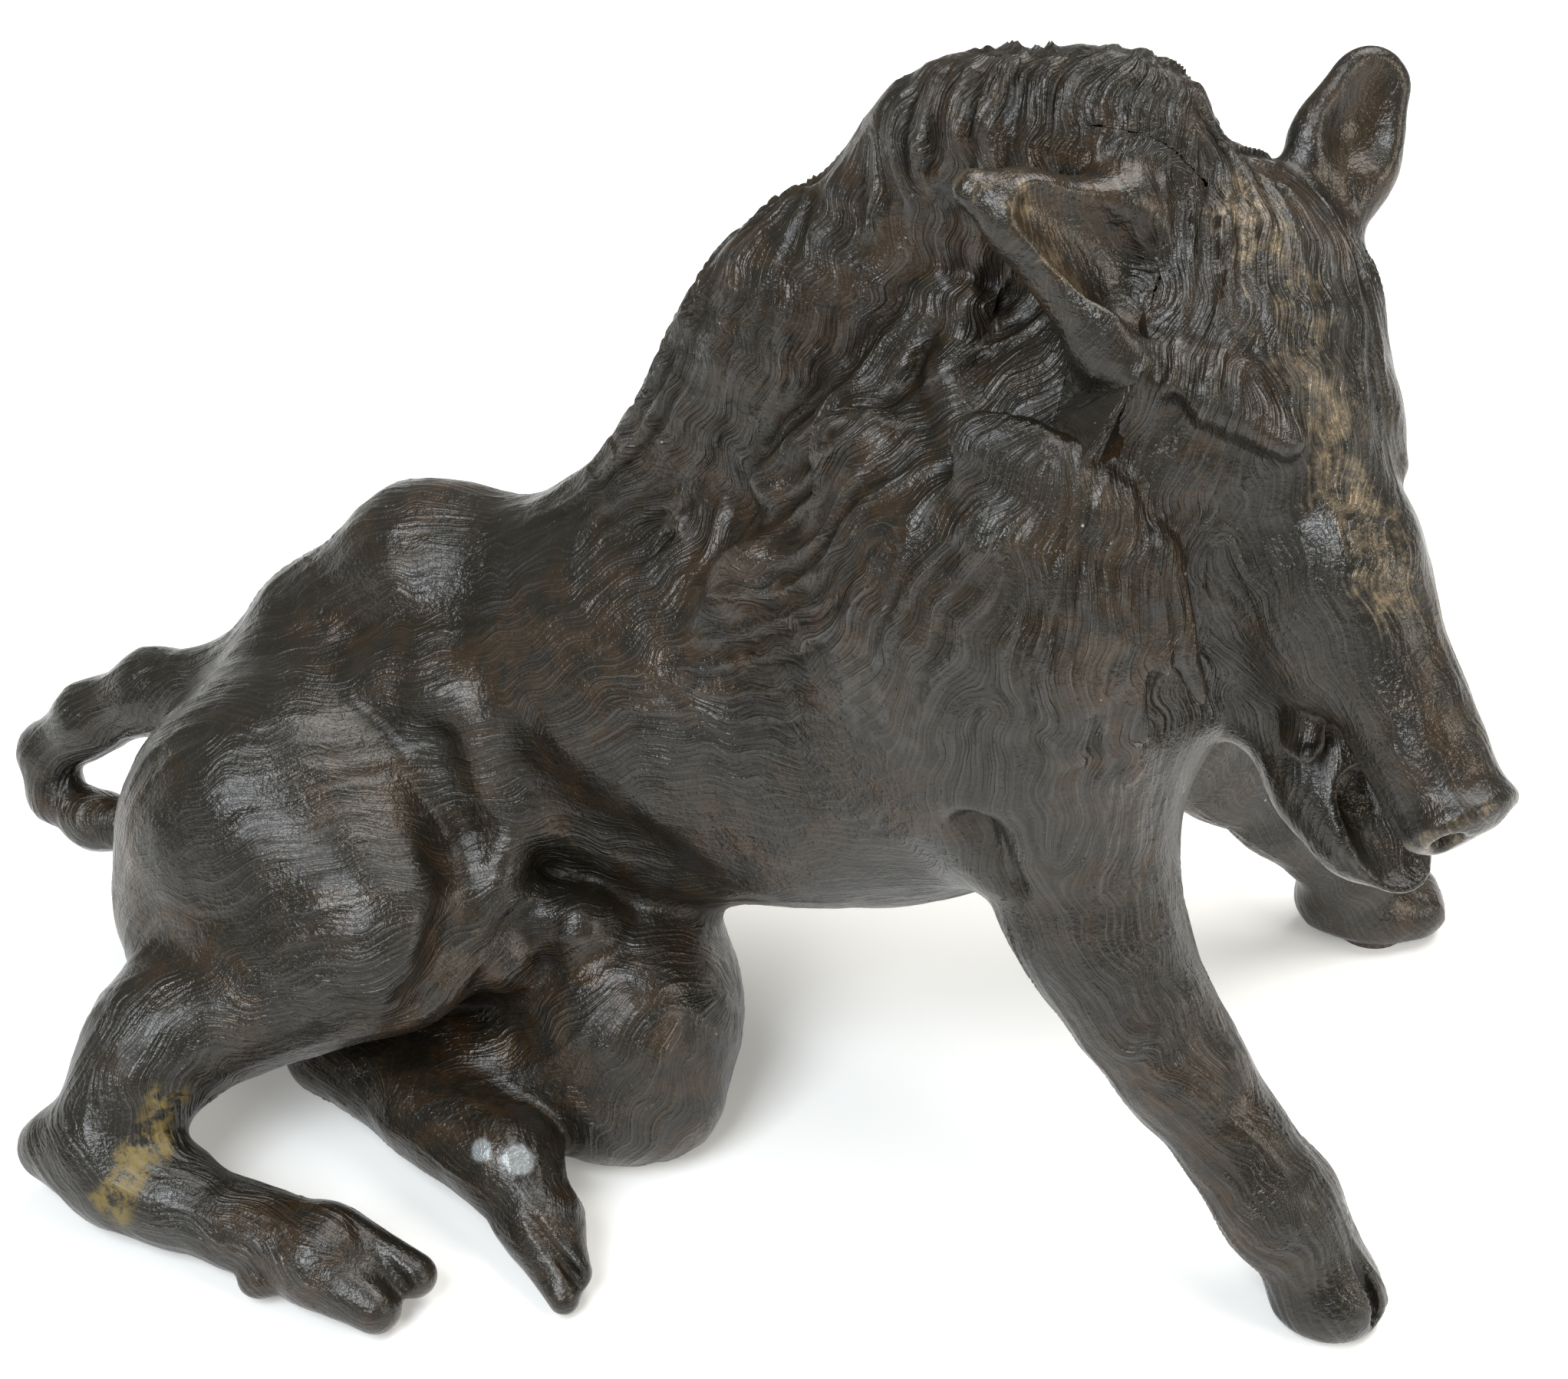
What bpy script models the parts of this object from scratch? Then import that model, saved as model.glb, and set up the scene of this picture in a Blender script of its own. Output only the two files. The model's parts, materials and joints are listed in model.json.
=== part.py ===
"""Seated wild boar statuette, cast bronze, built as the sectional casting it is.

Millimetres while the shapes are worked out, metres in the scene.  +X is the boar's nose end,
+Y its left, +Z up, the floor is z = 0.  The animal is described by a body plan: a short list of
ellipsoids (muscle masses) and round cones (limb segments), blended into one another.  The plan is
turned into one outer skin, the skin is sawn on the founder's joint lines, a core is taken out of
the big castings, and collars, dowels and pins hold the sections together.
"""
import bpy
import bmesh
import numpy as np
from math import radians, sin, cos
from mathutils import Matrix, Vector

MM = 0.001
GAP = 0.3            # joint gap between neighbouring solids
WALL = 4.5           # casting wall

for old in list(bpy.data.objects):
    bpy.data.objects.remove(old, do_unlink=True)


# ---------------------------------------------------------------- blended shapes
def turn(rx=0.0, ry=0.0, rz=0.0):
    return np.array((Matrix.Rotation(radians(rz), 3, 'Z') @ Matrix.Rotation(radians(ry), 3, 'Y')
                     @ Matrix.Rotation(radians(rx), 3, 'X')))


class Mass:
    """Ellipsoid: centre, half axes, orientation, blend width."""

    def __init__(self, centre, half, rot=None, k=8.0):
        self.c = np.array(centre, float)
        self.r = np.array(half, float)
        self.R = np.eye(3) if rot is None else rot
        self.k = k

    def box(self):
        e = np.sqrt(((self.R * self.r) ** 2).sum(1))
        return self.c - e, self.c + e

    def dist(self, p):
        q = (p - self.c) @ self.R
        k0 = np.sqrt(((q / self.r) ** 2).sum(-1))
        k1 = np.sqrt(((q / self.r ** 2) ** 2).sum(-1))
        return k0 * (k0 - 1) / np.maximum(k1, 1e-6)


class Limb:
    """Round cone from a to b, radii ra and rb; squeeze = (axis, factor) flattens the section."""

    def __init__(self, a, b, ra, rb, k=8.0, squeeze=None):
        self.a, self.b = np.array(a, float), np.array(b, float)
        self.ra, self.rb, self.k = ra, rb, k
        self.n = None
        if squeeze is not None:
            ax = (self.b - self.a) / np.linalg.norm(self.b - self.a)
            n = np.array(squeeze[0], float)
            n = n - ax * (n @ ax)
            self.n, self.f = n / np.linalg.norm(n), squeeze[1]

    def box(self):
        return (np.minimum(self.a - self.ra, self.b - self.rb),
                np.maximum(self.a + self.ra, self.b + self.rb))

    def dist(self, p):
        ba, pa = self.b - self.a, p - self.a
        if self.n is not None:
            pa = pa + (pa @ self.n)[..., None] * (1 / self.f - 1) * self.n
        l2 = float(ba @ ba)
        rr = self.ra - self.rb
        a2, il2 = l2 - rr * rr, 1 / l2
        y = pa @ ba
        z = y - l2
        x2 = ((pa * l2 - y[..., None] * ba) ** 2).sum(-1)
        y2, z2 = y * y * l2, z * z * l2
        k = np.sign(rr) * rr * rr * x2
        r = (np.sqrt(np.maximum(x2 * a2 * il2, 0)) + y * rr) * il2 - self.ra
        r = np.where(np.sign(y) * a2 * y2 < k, np.sqrt(x2 + y2) * il2 - self.ra, r)
        r = np.where(np.sign(z) * a2 * z2 > k, np.sqrt(x2 + z2) * il2 - self.rb, r)
        return r * (self.f ** 0.5 if self.n is not None else 1.0)


def blend(a, b, k):
    h = np.maximum(k - np.abs(a - b), 0) / k
    return np.minimum(a, b) - h * h * k * 0.25


def field(shapes, lo, hi, step):
    lo = np.array(lo, float)
    n = np.ceil((np.array(hi, float) - lo) / step).astype(int) + 1
    grid = np.full(n, 60.0)
    axes = [lo[i] + step * np.arange(n[i]) for i in range(3)]
    for s in shapes:
        bl, bh = s.box()
        m = s.k + 4 + WALL
        i0 = np.maximum(np.floor((bl - m - lo) / step).astype(int), 0)
        i1 = np.minimum(np.ceil((bh + m - lo) / step).astype(int) + 1, n)
        if (i1 <= i0).any():
            continue
        p = np.stack(np.meshgrid(*[axes[i][i0[i]:i1[i]] for i in range(3)], indexing='ij'), -1)
        part = tuple(slice(i0[i], i1[i]) for i in range(3))
        grid[part] = blend(grid[part], s.dist(p), s.k)
    return grid, lo


def skin(grid, lo, step):
    """Marching tetrahedra: each grid cube is six tetrahedra round its long diagonal, so the skin is
    one closed manifold.  Triangles face from the solid corners to the empty ones."""
    grid = np.where(np.abs(grid) < 1e-4, 1e-4, grid)
    n = np.array(grid.shape)
    flat = grid.ravel()
    stride = np.array([n[1] * n[2], n[2], 1])
    count = np.zeros(n - 1, int)
    for dx in (0, 1):
        for dy in (0, 1):
            for dz in (0, 1):
                count += grid[dx:n[0] - 1 + dx, dy:n[1] - 1 + dy, dz:n[2] - 1 + dz] < 0
    base = np.argwhere((count > 0) & (count < 8)) @ stride
    tets = []
    for order in ((0, 1, 2), (0, 2, 1), (1, 0, 2), (1, 2, 0), (2, 0, 1), (2, 1, 0)):
        steps = np.cumsum([0] + [stride[i] for i in order])
        tets.append(base[:, None] + steps)
    tets = np.concatenate(tets)
    inside = flat[tets] < 0
    number = inside.sum(1)
    faces, solid, empty = [], [], []        # faces as triples of grid edges (solid corner, empty corner)
    for lone, many in ((True, 1), (False, 3)):
        t = tets[number == many]
        m = inside[number == many]
        k = np.argmax(m if lone else ~m, 1)
        rows = np.arange(len(t))
        apex = t[rows, k]
        rest = np.stack([t[rows, (k + j) % 4] for j in (1, 2, 3)], 1)
        pair = np.stack([np.repeat(apex[:, None], 3, 1), rest], -1)
        faces.append(pair if lone else pair[..., ::-1])
    t, m = tets[number == 2], inside[number == 2]
    order = np.argsort(~m, 1, kind='stable')
    t = np.take_along_axis(t, order, 1)
    a, b, c, d = t.T
    quad = [np.stack([a, c], -1), np.stack([a, d], -1), np.stack([b, d], -1), np.stack([b, c], -1)]
    faces.append(np.stack([quad[0], quad[1], quad[2]], 1))
    faces.append(np.stack([quad[0], quad[2], quad[3]], 1))
    faces = np.concatenate(faces)
    pairs, index = np.unique(faces.reshape(-1, 2), axis=0, return_inverse=True)
    tri = index.reshape(-1, 3)

    def where(g):
        return np.stack(np.unravel_index(g, n), -1).astype(float)
    ga, gb = flat[pairs[:, 0]], flat[pairs[:, 1]]
    t = np.clip(ga / (ga - gb), 0.1, 0.9)[:, None]
    verts = lo + step * (where(pairs[:, 0]) * (1 - t) + where(pairs[:, 1]) * t)
    out = (where(faces[..., 1]) - where(faces[..., 0])).mean(1)
    p = verts[tri]
    flip = (np.cross(p[:, 1] - p[:, 0], p[:, 2] - p[:, 0]) * out).sum(1) < 0
    tri[flip] = tri[flip][:, ::-1]
    return verts, tri


# ---------------------------------------------------------------- solids in the scene
def add(name, verts, faces):
    mesh = bpy.data.meshes.new(name)
    mesh.from_pydata([tuple(v) for v in np.asarray(verts) * MM], [], [tuple(map(int, f)) for f in faces])
    mesh.validate()
    obj = bpy.data.objects.new(name, mesh)
    bpy.context.scene.collection.objects.link(obj)
    return obj


def settle(obj):
    """Evaluate the modifiers once and keep the result."""
    bpy.context.view_layer.update()
    done = bpy.data.meshes.new_from_object(obj.evaluated_get(bpy.context.evaluated_depsgraph_get()))
    obj.modifiers.clear()
    obj.data = done
    return obj


def grown(name, shapes, step, triangles, offset=0.0):
    lo = np.min([s.box()[0] for s in shapes], 0) - 8
    hi = np.max([s.box()[1] for s in shapes], 0) + 8
    grid, lo = field(shapes, lo, hi, step)
    obj = add(name, *skin(grid + offset, lo, step))
    m = obj.modifiers.new("even", 'SMOOTH')
    m.factor, m.iterations = 0.5, 2
    settle(obj)
    m = obj.modifiers.new("lighter", 'DECIMATE')
    m.ratio = min(1.0, triangles / len(obj.data.polygons))
    m.use_collapse_triangulate = True
    return settle(obj)


def copy(obj, name):
    new = bpy.data.objects.new(name, obj.data.copy())
    bpy.context.scene.collection.objects.link(new)
    return new


def cut(obj, other, how):
    m = obj.modifiers.new(how.lower(), 'BOOLEAN')
    m.operation, m.object, m.solver = how, other, 'EXACT'
    return settle(obj)


def drop(*objs):
    for o in objs:
        bpy.data.objects.remove(o, do_unlink=True)


def axes_along(d):
    d = Vector(d).normalized()
    side = d.cross(Vector((0, 0, 1)))
    side = Vector((1, 0, 0)) if side.length < 1e-3 else side.normalized()
    return np.array([side, d.cross(side), d]).T       # columns: side, third, along


def block(name, start, d, length, width, before=0.0, grow=0.0):
    """Box of square section whose end face passes through start, square to d."""
    R = axes_along(d)
    w = width / 2 + grow
    pts = [np.array(start, float) + R @ np.array([x, y, z])
           for z in (-before - grow, length + grow) for y in (-w, w) for x in (-w, w)]
    return add(name, pts, [(0, 2, 3, 1), (4, 5, 7, 6), (0, 1, 5, 4), (2, 6, 7, 3), (0, 4, 6, 2), (1, 3, 7, 5)])


def rod(name, a, b, radius, sides=20):
    a, b = np.array(a, float), np.array(b, float)
    R = axes_along(b - a)
    ring = [R @ np.array([radius * cos(t), radius * sin(t), 0])
            for t in np.linspace(0, 2 * np.pi, sides, endpoint=False)]
    pts = [a + r for r in ring] + [b + r for r in ring]
    faces = [tuple(reversed(range(sides))), tuple(range(sides, 2 * sides))]
    faces += [(i, (i + 1) % sides, sides + (i + 1) % sides, sides + i) for i in range(sides)]
    return outward(add(name, pts, faces))


def outward(obj):
    bm = bmesh.new()
    bm.from_mesh(obj.data)
    bmesh.ops.recalc_face_normals(bm, faces=bm.faces)
    bm.to_mesh(obj.data)
    bm.free()
    return obj


def bore(objs, a, b, radius):
    tool = rod("bore_tool", a, b, radius + GAP)
    for o in objs:
        cut(o, tool, 'DIFFERENCE')
    drop(tool)


# ---------------------------------------------------------------- the boar
# Head frame: origin between the ears, columns = nose-ward, left, up.
YAW, PITCH, ROLL = radians(46.5), radians(37.5), radians(1.0)
NOSE = np.array([cos(YAW) * cos(PITCH), -sin(YAW) * cos(PITCH), -sin(PITCH)])
LEFT = np.array([sin(YAW), cos(YAW), 0.0])
UP = np.cross(NOSE, LEFT)
LEFT, UP = LEFT * cos(ROLL) + UP * sin(ROLL), UP * cos(ROLL) - LEFT * sin(ROLL)
HEAD = np.stack([NOSE, LEFT, UP], 1)
POLL = np.array([83.3, -2.0, 183.0])


def h(a, b, c):
    return POLL + HEAD @ np.array([a, b, c], float)


trunk = [
    # pelvis, loin, sacrum ridge, rib cage, chest, neck
    Mass((-99, -2, 51.5), (34, 31, 30), turn(0, -18, 0), 12),
    Limb((-88, 2, 58), (-30, 2, 81), 29, 36, 16),
    Limb((-97, 6, 81.5), (-75, 9, 99), 14, 13.5, 12),
    Limb((-75, 9, 99), (-48, 7, 101.5), 13.5, 13, 12),
    Mass((2, 0, 88), (52, 43, 47), turn(0, -10, 0), 18),
    Mass((40, -2, 115), (44, 44, 60), turn(0, 15, 0), 20),
    Limb((50, -2, 130), (76, -2, 170), 44, 31, 20),
]
crest = [
    # mane ridge from the withers to between the ears
    Limb((-32, 5, 107), (-15, 5.2, 133), 13, 14, 18, ((0, 1, 0), 0.7)),
    Limb((-15, 5.2, 133), (0, 5.6, 156), 14, 17.5, 16, ((0, 1, 0), 0.7)),
    Limb((0, 5.6, 156), (10, 6, 169), 17.5, 18.2, 16, ((0, 1, 0), 0.65)),
    Limb((10, 6, 169), (36, 7, 200.5), 18.2, 17.8, 16, ((0, 1, 0), 0.65)),
    Limb((36, 7, 200.5), (57, 4.5, 208.5), 17.8, 17.8, 14, ((0, 1, 0), 0.65)),
]
shoulders = [
    # shoulder blades, upper forelegs
    Mass((38, -34, 128), (24, 14, 34), turn(0, 20, 0), 16),
    Mass((38, 32, 120), (24, 14, 34), turn(0, 20, 0), 16),
    Limb((54, -28, 104), (68.5, -38, 74), 24, 15, 14),
    Limb((66, -38, 72), (77, -44, 57), 13.2, 12, 8),
    Limb((56, 26, 100), (72, 32, 66), 22, 16, 14),
    Limb((72, 33, 66), (84, 37, 53), 13.5, 11.5, 8),
]
haunches = [
    # right haunch, thigh and shank, then the left thigh, stifle, shank and cannon, then the sheath
    Mass((-100, -32, 50), (30, 26, 31), turn(0, -25, 0), 12),
    Limb((-94, -28, 62), (-70, -46, 53), 27, 19, 14),
    Limb((-72, -48, 49), (-112.5, -70.5, 29), 19, 10.6, 12),
    Limb((-112.5, -70.5, 29), (-118, -82, 18), 10.6, 9.8, 8),
    Mass((-114, -42, 40), (13, 14, 14), None, 10),
    Limb((-88, 14, 32), (-26, -30, 25), 32, 23, 14),
    Mass((-22, -40, 24), (19, 18, 22), None, 10),
    Mass((-20, -46, 13), (16, 13, 13), None, 8),
    Limb((-28, -50, 15), (-84, -42, 13), 13, 11, 6),
    Limb((-85, -46, 13), (-40, -70.5, 14.5), 9.2, 8.8, 5),
    Limb((-43, -36, 49), (-33, -38, 50), 6, 7, 5),
    Mass((-55, -45, 46), (6, 6, 7), None, 4),
    Mass((-47, -44, 44), (6, 6, 7), None, 4),
]
skull = [
    # cranium, bridge, muzzle, brows, jowls, lower jaw
    Mass(h(-4, -1, -8), (27, 19, 22), HEAD, 12),
    Limb(h(-8, -1, -1), h(45, -1, -7), 15.5, 12, 12),
    Limb(h(45, -1, -8), h(88, -1, -12), 12, 8.8, 10),
    Mass(h(23, -11, 0), (9, 6, 6), HEAD, 6),
    Mass(h(23, 11, 0), (9, 6, 6), HEAD, 6),
    Mass(h(-2, 10, -8), (16, 14, 14), HEAD, 10),
    Mass(h(6, -12, -28), (30, 16, 22), HEAD, 14),
    Mass(h(6, 9, -30), (30, 12, 22), HEAD, 14),
    Limb(h(14, 0, -40), h(58, 0, -37), 19, 12.5, 12),
    Limb(h(58, 0, -38), h(84, 0, -39.5), 11.5, 9.5, 6),
    Limb(h(84, 0, -39.5), h(94, 0, -36), 9.5, 6.5, 5),
    Limb(h(52, 0, -14), h(89, -0.5, -14), 11.5, 8.5, 7),                # upper lip
    Mass(h(40, -10, -20), (24, 8, 12), HEAD, 9),                        # cheeks
    Mass(h(40, 10, -20), (24, 8, 12), HEAD, 9),
    Mass(h(93.5, -0.5, -11.5), (4.0, 10.8, 9.6), HEAD, 3),              # snout disc
]
SINK = 1.2                                    # the floor plane takes this much off the lowest points
for s in trunk + crest + shoulders + haunches + skull:
    for key in ('c', 'a', 'b'):
        if hasattr(s, key):
            getattr(s, key)[2] -= SINK


def low(p):
    return (p[0], p[1], p[2] - SINK)


main = grown("main", trunk + crest + shoulders + haunches + skull, 3.2, 5000)
floor = block("floor", (0, 0, 0), (0, 0, -1), 60, 900)
cut(main, floor, 'DIFFERENCE')
drop(floor)

# A slightly swollen copy, used to fit the ears and the tail to the surface they sit on.
fit = copy(main, "fit")
push = fit.modifiers.new("swell", 'DISPLACE')
push.strength, push.mid_level = 0.35 * MM, 0.0
settle(fit)

# --- limb joints: (name, point on the joint, direction down the limb, block length, block width)
JOINTS = {
    "right_foreleg": (low((71, -41, 67)), (0.58, -0.26, -0.77), 120, 60),
    "left_foreleg": (low((78, 34, 60)), (0.62, 0.22, -0.75), 110, 56),
    "right_hind_leg": (low((-118.4, -73, 27)), (-0.15, -0.62, -0.77), 90, 44),
    "left_hind_foot": (low((-54, -63.5, 14)), (0.84, -0.54, -0.06), 60, 42),
}
for name, (p, d, length, width) in JOINTS.items():
    local = block("joint_block", p, d, 38, width)
    cut(main, local, 'DIFFERENCE')
    drop(local)

limbs = {
    "right_foreleg": [
        Limb((66, -38, 72), (86.5, -48, 46), 13.2, 11.3, 8), Limb((86.5, -48, 46), (108, -58, 23.5), 11.3, 10.8, 6),
        Limb((108, -58, 23.5), (118, -62, 11), 10.8, 9.2, 5), Limb((114.5, -59, 10), (123, -64, 8), 8.5, 6, 4),
        Limb((115, -64, 10), (120.5, -66, 8), 6, 5.5, 3)],
    "left_foreleg": [
        Limb((73, 33, 66), (99, 42, 37), 13, 9.2, 8), Limb((99, 42, 37), (115, 48, 17), 9.2, 8.4, 6),
        Limb((115, 48, 17), (119, 49.5, 9), 8.4, 7.5, 4),
        Limb((112, 48, 9), (131, 50, 7), 7.6, 6.2, 5), Limb((115, 53, 8), (130, 56, 7), 6.2, 5.6, 3)],
    "right_hind_leg": [
        Limb((-112, -66, 34), (-119, -84, 16), 11.2, 10, 8), Limb((-130, -85, 14), (-104, -89, 11), 5.5, 9, 8),
        Limb((-112, -88, 11), (-66, -98, 9.5), 9, 8.8, 6), Limb((-68, -95, 10), (-52.5, -97, 8), 7.5, 5.3, 3.0),
        Limb((-69, -100, 10), (-55, -103, 7.5), 6.5, 4.8, 2.5)],
    "left_hind_foot": [
        Limb((-60, -60, 14), (-40, -70.5, 14.5), 9.2, 8.8, 5), Limb((-40, -70.5, 14.5), (-30.5, -81, 10.5), 8.8, 7.5, 5),
        Limb((-31, -80, 10.5), (-20.5, -90, 6.4), 7.0, 4.2, 3.5), Limb((-34, -80, 10), (-24.5, -93, 6), 6.0, 3.6, 2.5)],
}
made = {}
for name, shapes in limbs.items():
    for s in shapes:
        s.a[2] -= SINK
        s.b[2] -= SINK
    p, d, length, width = JOINTS[name]
    obj = grown(name, shapes, 2.4, 760)
    keep = block("keep", np.array(p) + np.array(d) / np.linalg.norm(d) * GAP, d, 200, 260)
    cut(obj, keep, 'INTERSECT')
    drop(keep)
    floor_z = 1.9 if "foreleg" in name else 0.0      # the fore hooves stand on felt pads
    floor = block("floor", (0, 0, floor_z), (0, 0, -1), 60, 900)
    cut(obj, floor, 'DIFFERENCE')
    drop(floor)
    made[name] = obj

# --- ears and tail, each coped to the casting it is pinned to
OPEN_R, OPEN_L = (0.48, -0.30, 0.82), (0.45, -0.76, 0.47)      # the side each ear opens to
EAR_R = low(h(-4, -15, -2)), low((45.7, -22.1, 208.5)), low((36.7, -23.1, 212.5))
EAR_L = low(h(-5, 14, 2)), low((95, 20.5, 203)), low((97.8, 26, 212.5))
made["right_ear"] = grown("right_ear", [
    Limb(EAR_R[0], EAR_R[1], 12, 6.4, 6, (OPEN_R, 0.72)),
    Limb(low((66, -26, 182)), EAR_R[1], 5.0, 5.2, 6),
    Limb(EAR_R[1], EAR_R[2], 6.4, 3.6, 5, (OPEN_R, 0.8))], 1.6, 420)
made["left_ear"] = grown("left_ear", [
    Limb(EAR_L[0], EAR_L[1], 6.2, 9.2, 6, (OPEN_L, 0.5)),
    Limb(EAR_L[1], EAR_L[2], 9.2, 7.8, 5, (OPEN_L, 0.5))], 1.6, 420)
track = [((-116, 0, 68), 8.5), ((-136, 3, 60), 8.6), ((-151, 3, 51), 7.6), ((-163, 2, 40), 6.0),
         ((-161, -2, 31.5), 5.2), ((-150, -6, 29.5), 5.6), ((-139, -8, 31), 5.6)]
made["tail"] = grown("tail", [Limb(low(a), low(b), ra, rb, 4) for (a, ra), (b, rb) in zip(track[:-1], track[1:])], 2.0, 700)
for name in ("right_ear", "left_ear", "tail"):
    cut(made[name], fit, 'DIFFERENCE')
drop(fit)

# --- the core: what the founder's core filled, wall thickness inside the skin
body = (trunk[:2] + trunk[4:] + crest[2:] + shoulders[:3] + [shoulders[4]] + haunches[:2] + haunches[5:7]
        + skull[:2] + skull[6:8])
core = grown("core", body, 4.0, 900, WALL)

# --- the three big castings
SEAM_X = 40.0
NECK_P, NECK_N = (60.0, 0.0, 213.0), (0.628, -0.662, 0.41)
rear = block("rear", (SEAM_X - GAP / 2, 0, 0), (-1, 0, 0), 400, 900)
front = block("front", (SEAM_X + GAP / 2, 0, 0), (1, 0, 0), 400, 900)
nn = np.array(NECK_N) / np.linalg.norm(NECK_N)
ahead = block("ahead", np.array(NECK_P) + nn * GAP / 2, nn, 400, 900)
behind = block("behind", np.array(NECK_P) - nn * GAP / 2, -nn, 400, 900)
made["trunk_casting"] = cut(copy(main, "trunk_casting"), rear, 'INTERSECT')
fore = cut(copy(main, "fore"), front, 'INTERSECT')
made["shoulder_casting"] = cut(copy(fore, "shoulder_casting"), behind, 'INTERSECT')
made["head_casting"] = cut(copy(fore, "head_casting"), ahead, 'INTERSECT')
for name in ("trunk_casting", "shoulder_casting", "head_casting"):
    cut(made[name], core, 'DIFFERENCE')
drop(main, fore, rear, front, ahead, behind)

# Core-print opening under the belly, where the core was held and later dug out.
bore([made["trunk_casting"]], (-4, 2, 20), (-4, 2, 80), 8.0)

# --- collars of the two sleeve joints: rings that follow the core wall on both sides of a joint
loose = grown("loose", body, 4.0, 900, WALL + 1.7)
inner = grown("inner", body, 4.0, 800, WALL + 4.8)
slab = block("slab", (SEAM_X - 7, 0, 0), (1, 0, 0), 14, 900)
ring = cut(cut(copy(loose, "seam_collar"), slab, 'INTERSECT'), inner, 'DIFFERENCE')
made["seam_collar"] = ring
drop(slab)
slab = block("slab", np.array(NECK_P) - nn * 6, nn, 12, 900)
keep = block("keep", (SEAM_X + 8, 0, 0), (1, 0, 0), 400, 900)
ring = cut(cut(cut(copy(loose, "neck_collar"), slab, 'INTERSECT'), keep, 'INTERSECT'), inner, 'DIFFERENCE')
made["neck_collar"] = ring
drop(slab, keep, core, loose, inner)

# --- dowels and pins
PINS = {      # name: (end in the limb, end in the casting, radius, pieces it passes)
    "right_foreleg_dowel": (low((82, -46, 52)), low((64, -37.5, 76)), 3.5, ("right_foreleg", "shoulder_casting")),
    "left_foreleg_dowel": (low((90, 37.5, 45.5)), low((70, 31, 70)), 3.5, ("left_foreleg", "shoulder_casting")),
    "right_hock_dowel": (low((-120, -80, 19)), low((-114, -66, 33)), 3.0, ("right_hind_leg", "trunk_casting")),
    "left_foot_dowel": (low((-45, -68.5, 13.6)), low((-65, -57.5, 13.4)), 2.5, ("left_hind_foot", "trunk_casting")),
    "tail_pin": ((-134, 2.7, 59.7), (-114, 0, 67.7), 2.0, ("tail", "trunk_casting")),
    "right_ear_pin": ((57, -15.6, 198), (66.6, -11.6, 192.8), 1.5, ("right_ear", "head_casting", "shoulder_casting")),
    "left_ear_pin": ((93.5, 17.5, 200), tuple(h(-5, 16, 5)), 1.5, ("left_ear", "head_casting")),
}
for name, (a, b, r, pieces) in PINS.items():
    bore([made[p] for p in pieces], np.array(a) + (np.array(a) - b) * 0.02, np.array(b) + (np.array(b) - a) * 0.02, r)
    made[name] = rod(name, a, b, r, 16)

# --- felt pads under the fore hooves
made["right_fore_felt_pad"] = rod("right_fore_felt_pad", (119.5, -63.5, 0), (119.5, -63.5, 1.6), 7.5, 28)
made["left_fore_felt_pad"] = rod("left_fore_felt_pad", (121.5, 49.5, 0), (121.5, 49.5, 1.6), 8.0, 28)

# --- centre the statuette over the origin
bpy.context.view_layer.update()
pts = np.concatenate([[tuple(v.co) for v in o.data.vertices] for o in made.values()])
shift = Vector((-(pts[:, 0].min() + pts[:, 0].max()) / 2, -(pts[:, 1].min() + pts[:, 1].max()) / 2, 0))
for name, obj in made.items():
    obj.name = name
    obj.data.transform(Matrix.Translation(shift))
    obj.data.update()
print("boar shift mm", [round(c * 1000, 3) for c in shift])
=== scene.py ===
"""Seated wild boar statuette in patinated bronze: the looks.

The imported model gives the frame.  Each visible casting is rebuilt here as a finely meshed skin with
the sculptor's modelling: mane locks, cheek ruff, folds, ears, muzzle and mouth, cloven hooves.  The
chased fur is a bump laid along a combing field solved over the whole animal, so it follows the body.
"""
import json
import bpy
import numpy as np
from mathutils import Vector, Matrix

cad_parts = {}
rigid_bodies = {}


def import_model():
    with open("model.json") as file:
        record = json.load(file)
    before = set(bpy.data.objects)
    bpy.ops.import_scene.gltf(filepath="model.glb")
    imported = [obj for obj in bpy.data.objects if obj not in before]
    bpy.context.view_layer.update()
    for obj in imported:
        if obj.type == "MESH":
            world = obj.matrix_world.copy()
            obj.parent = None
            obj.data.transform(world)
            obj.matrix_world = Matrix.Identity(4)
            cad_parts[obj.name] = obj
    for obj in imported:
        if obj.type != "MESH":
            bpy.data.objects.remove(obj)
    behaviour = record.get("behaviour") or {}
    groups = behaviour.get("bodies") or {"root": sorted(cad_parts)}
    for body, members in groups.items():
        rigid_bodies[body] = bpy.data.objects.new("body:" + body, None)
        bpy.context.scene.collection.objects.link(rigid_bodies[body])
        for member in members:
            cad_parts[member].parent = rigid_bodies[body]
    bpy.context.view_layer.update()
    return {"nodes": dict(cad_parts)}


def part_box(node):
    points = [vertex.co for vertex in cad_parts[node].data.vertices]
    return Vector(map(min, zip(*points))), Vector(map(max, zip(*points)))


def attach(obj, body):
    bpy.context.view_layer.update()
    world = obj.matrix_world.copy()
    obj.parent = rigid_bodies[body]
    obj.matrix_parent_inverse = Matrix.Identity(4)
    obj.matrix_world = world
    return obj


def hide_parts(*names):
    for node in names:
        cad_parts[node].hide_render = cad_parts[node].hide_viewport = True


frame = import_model()

# ---------------------------------------------------------------- shapes (millimetres, plan coordinates)
F = np.float32


def turned(rx=0.0, ry=0.0, rz=0.0):
    rx, ry, rz = np.radians([rx, ry, rz])
    c, s = np.cos, np.sin
    X = np.array([[1, 0, 0], [0, c(rx), -s(rx)], [0, s(rx), c(rx)]])
    Y = np.array([[c(ry), 0, s(ry)], [0, 1, 0], [-s(ry), 0, c(ry)]])
    Z = np.array([[c(rz), -s(rz), 0], [s(rz), c(rz), 0], [0, 0, 1]])
    return Z @ Y @ X


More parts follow.
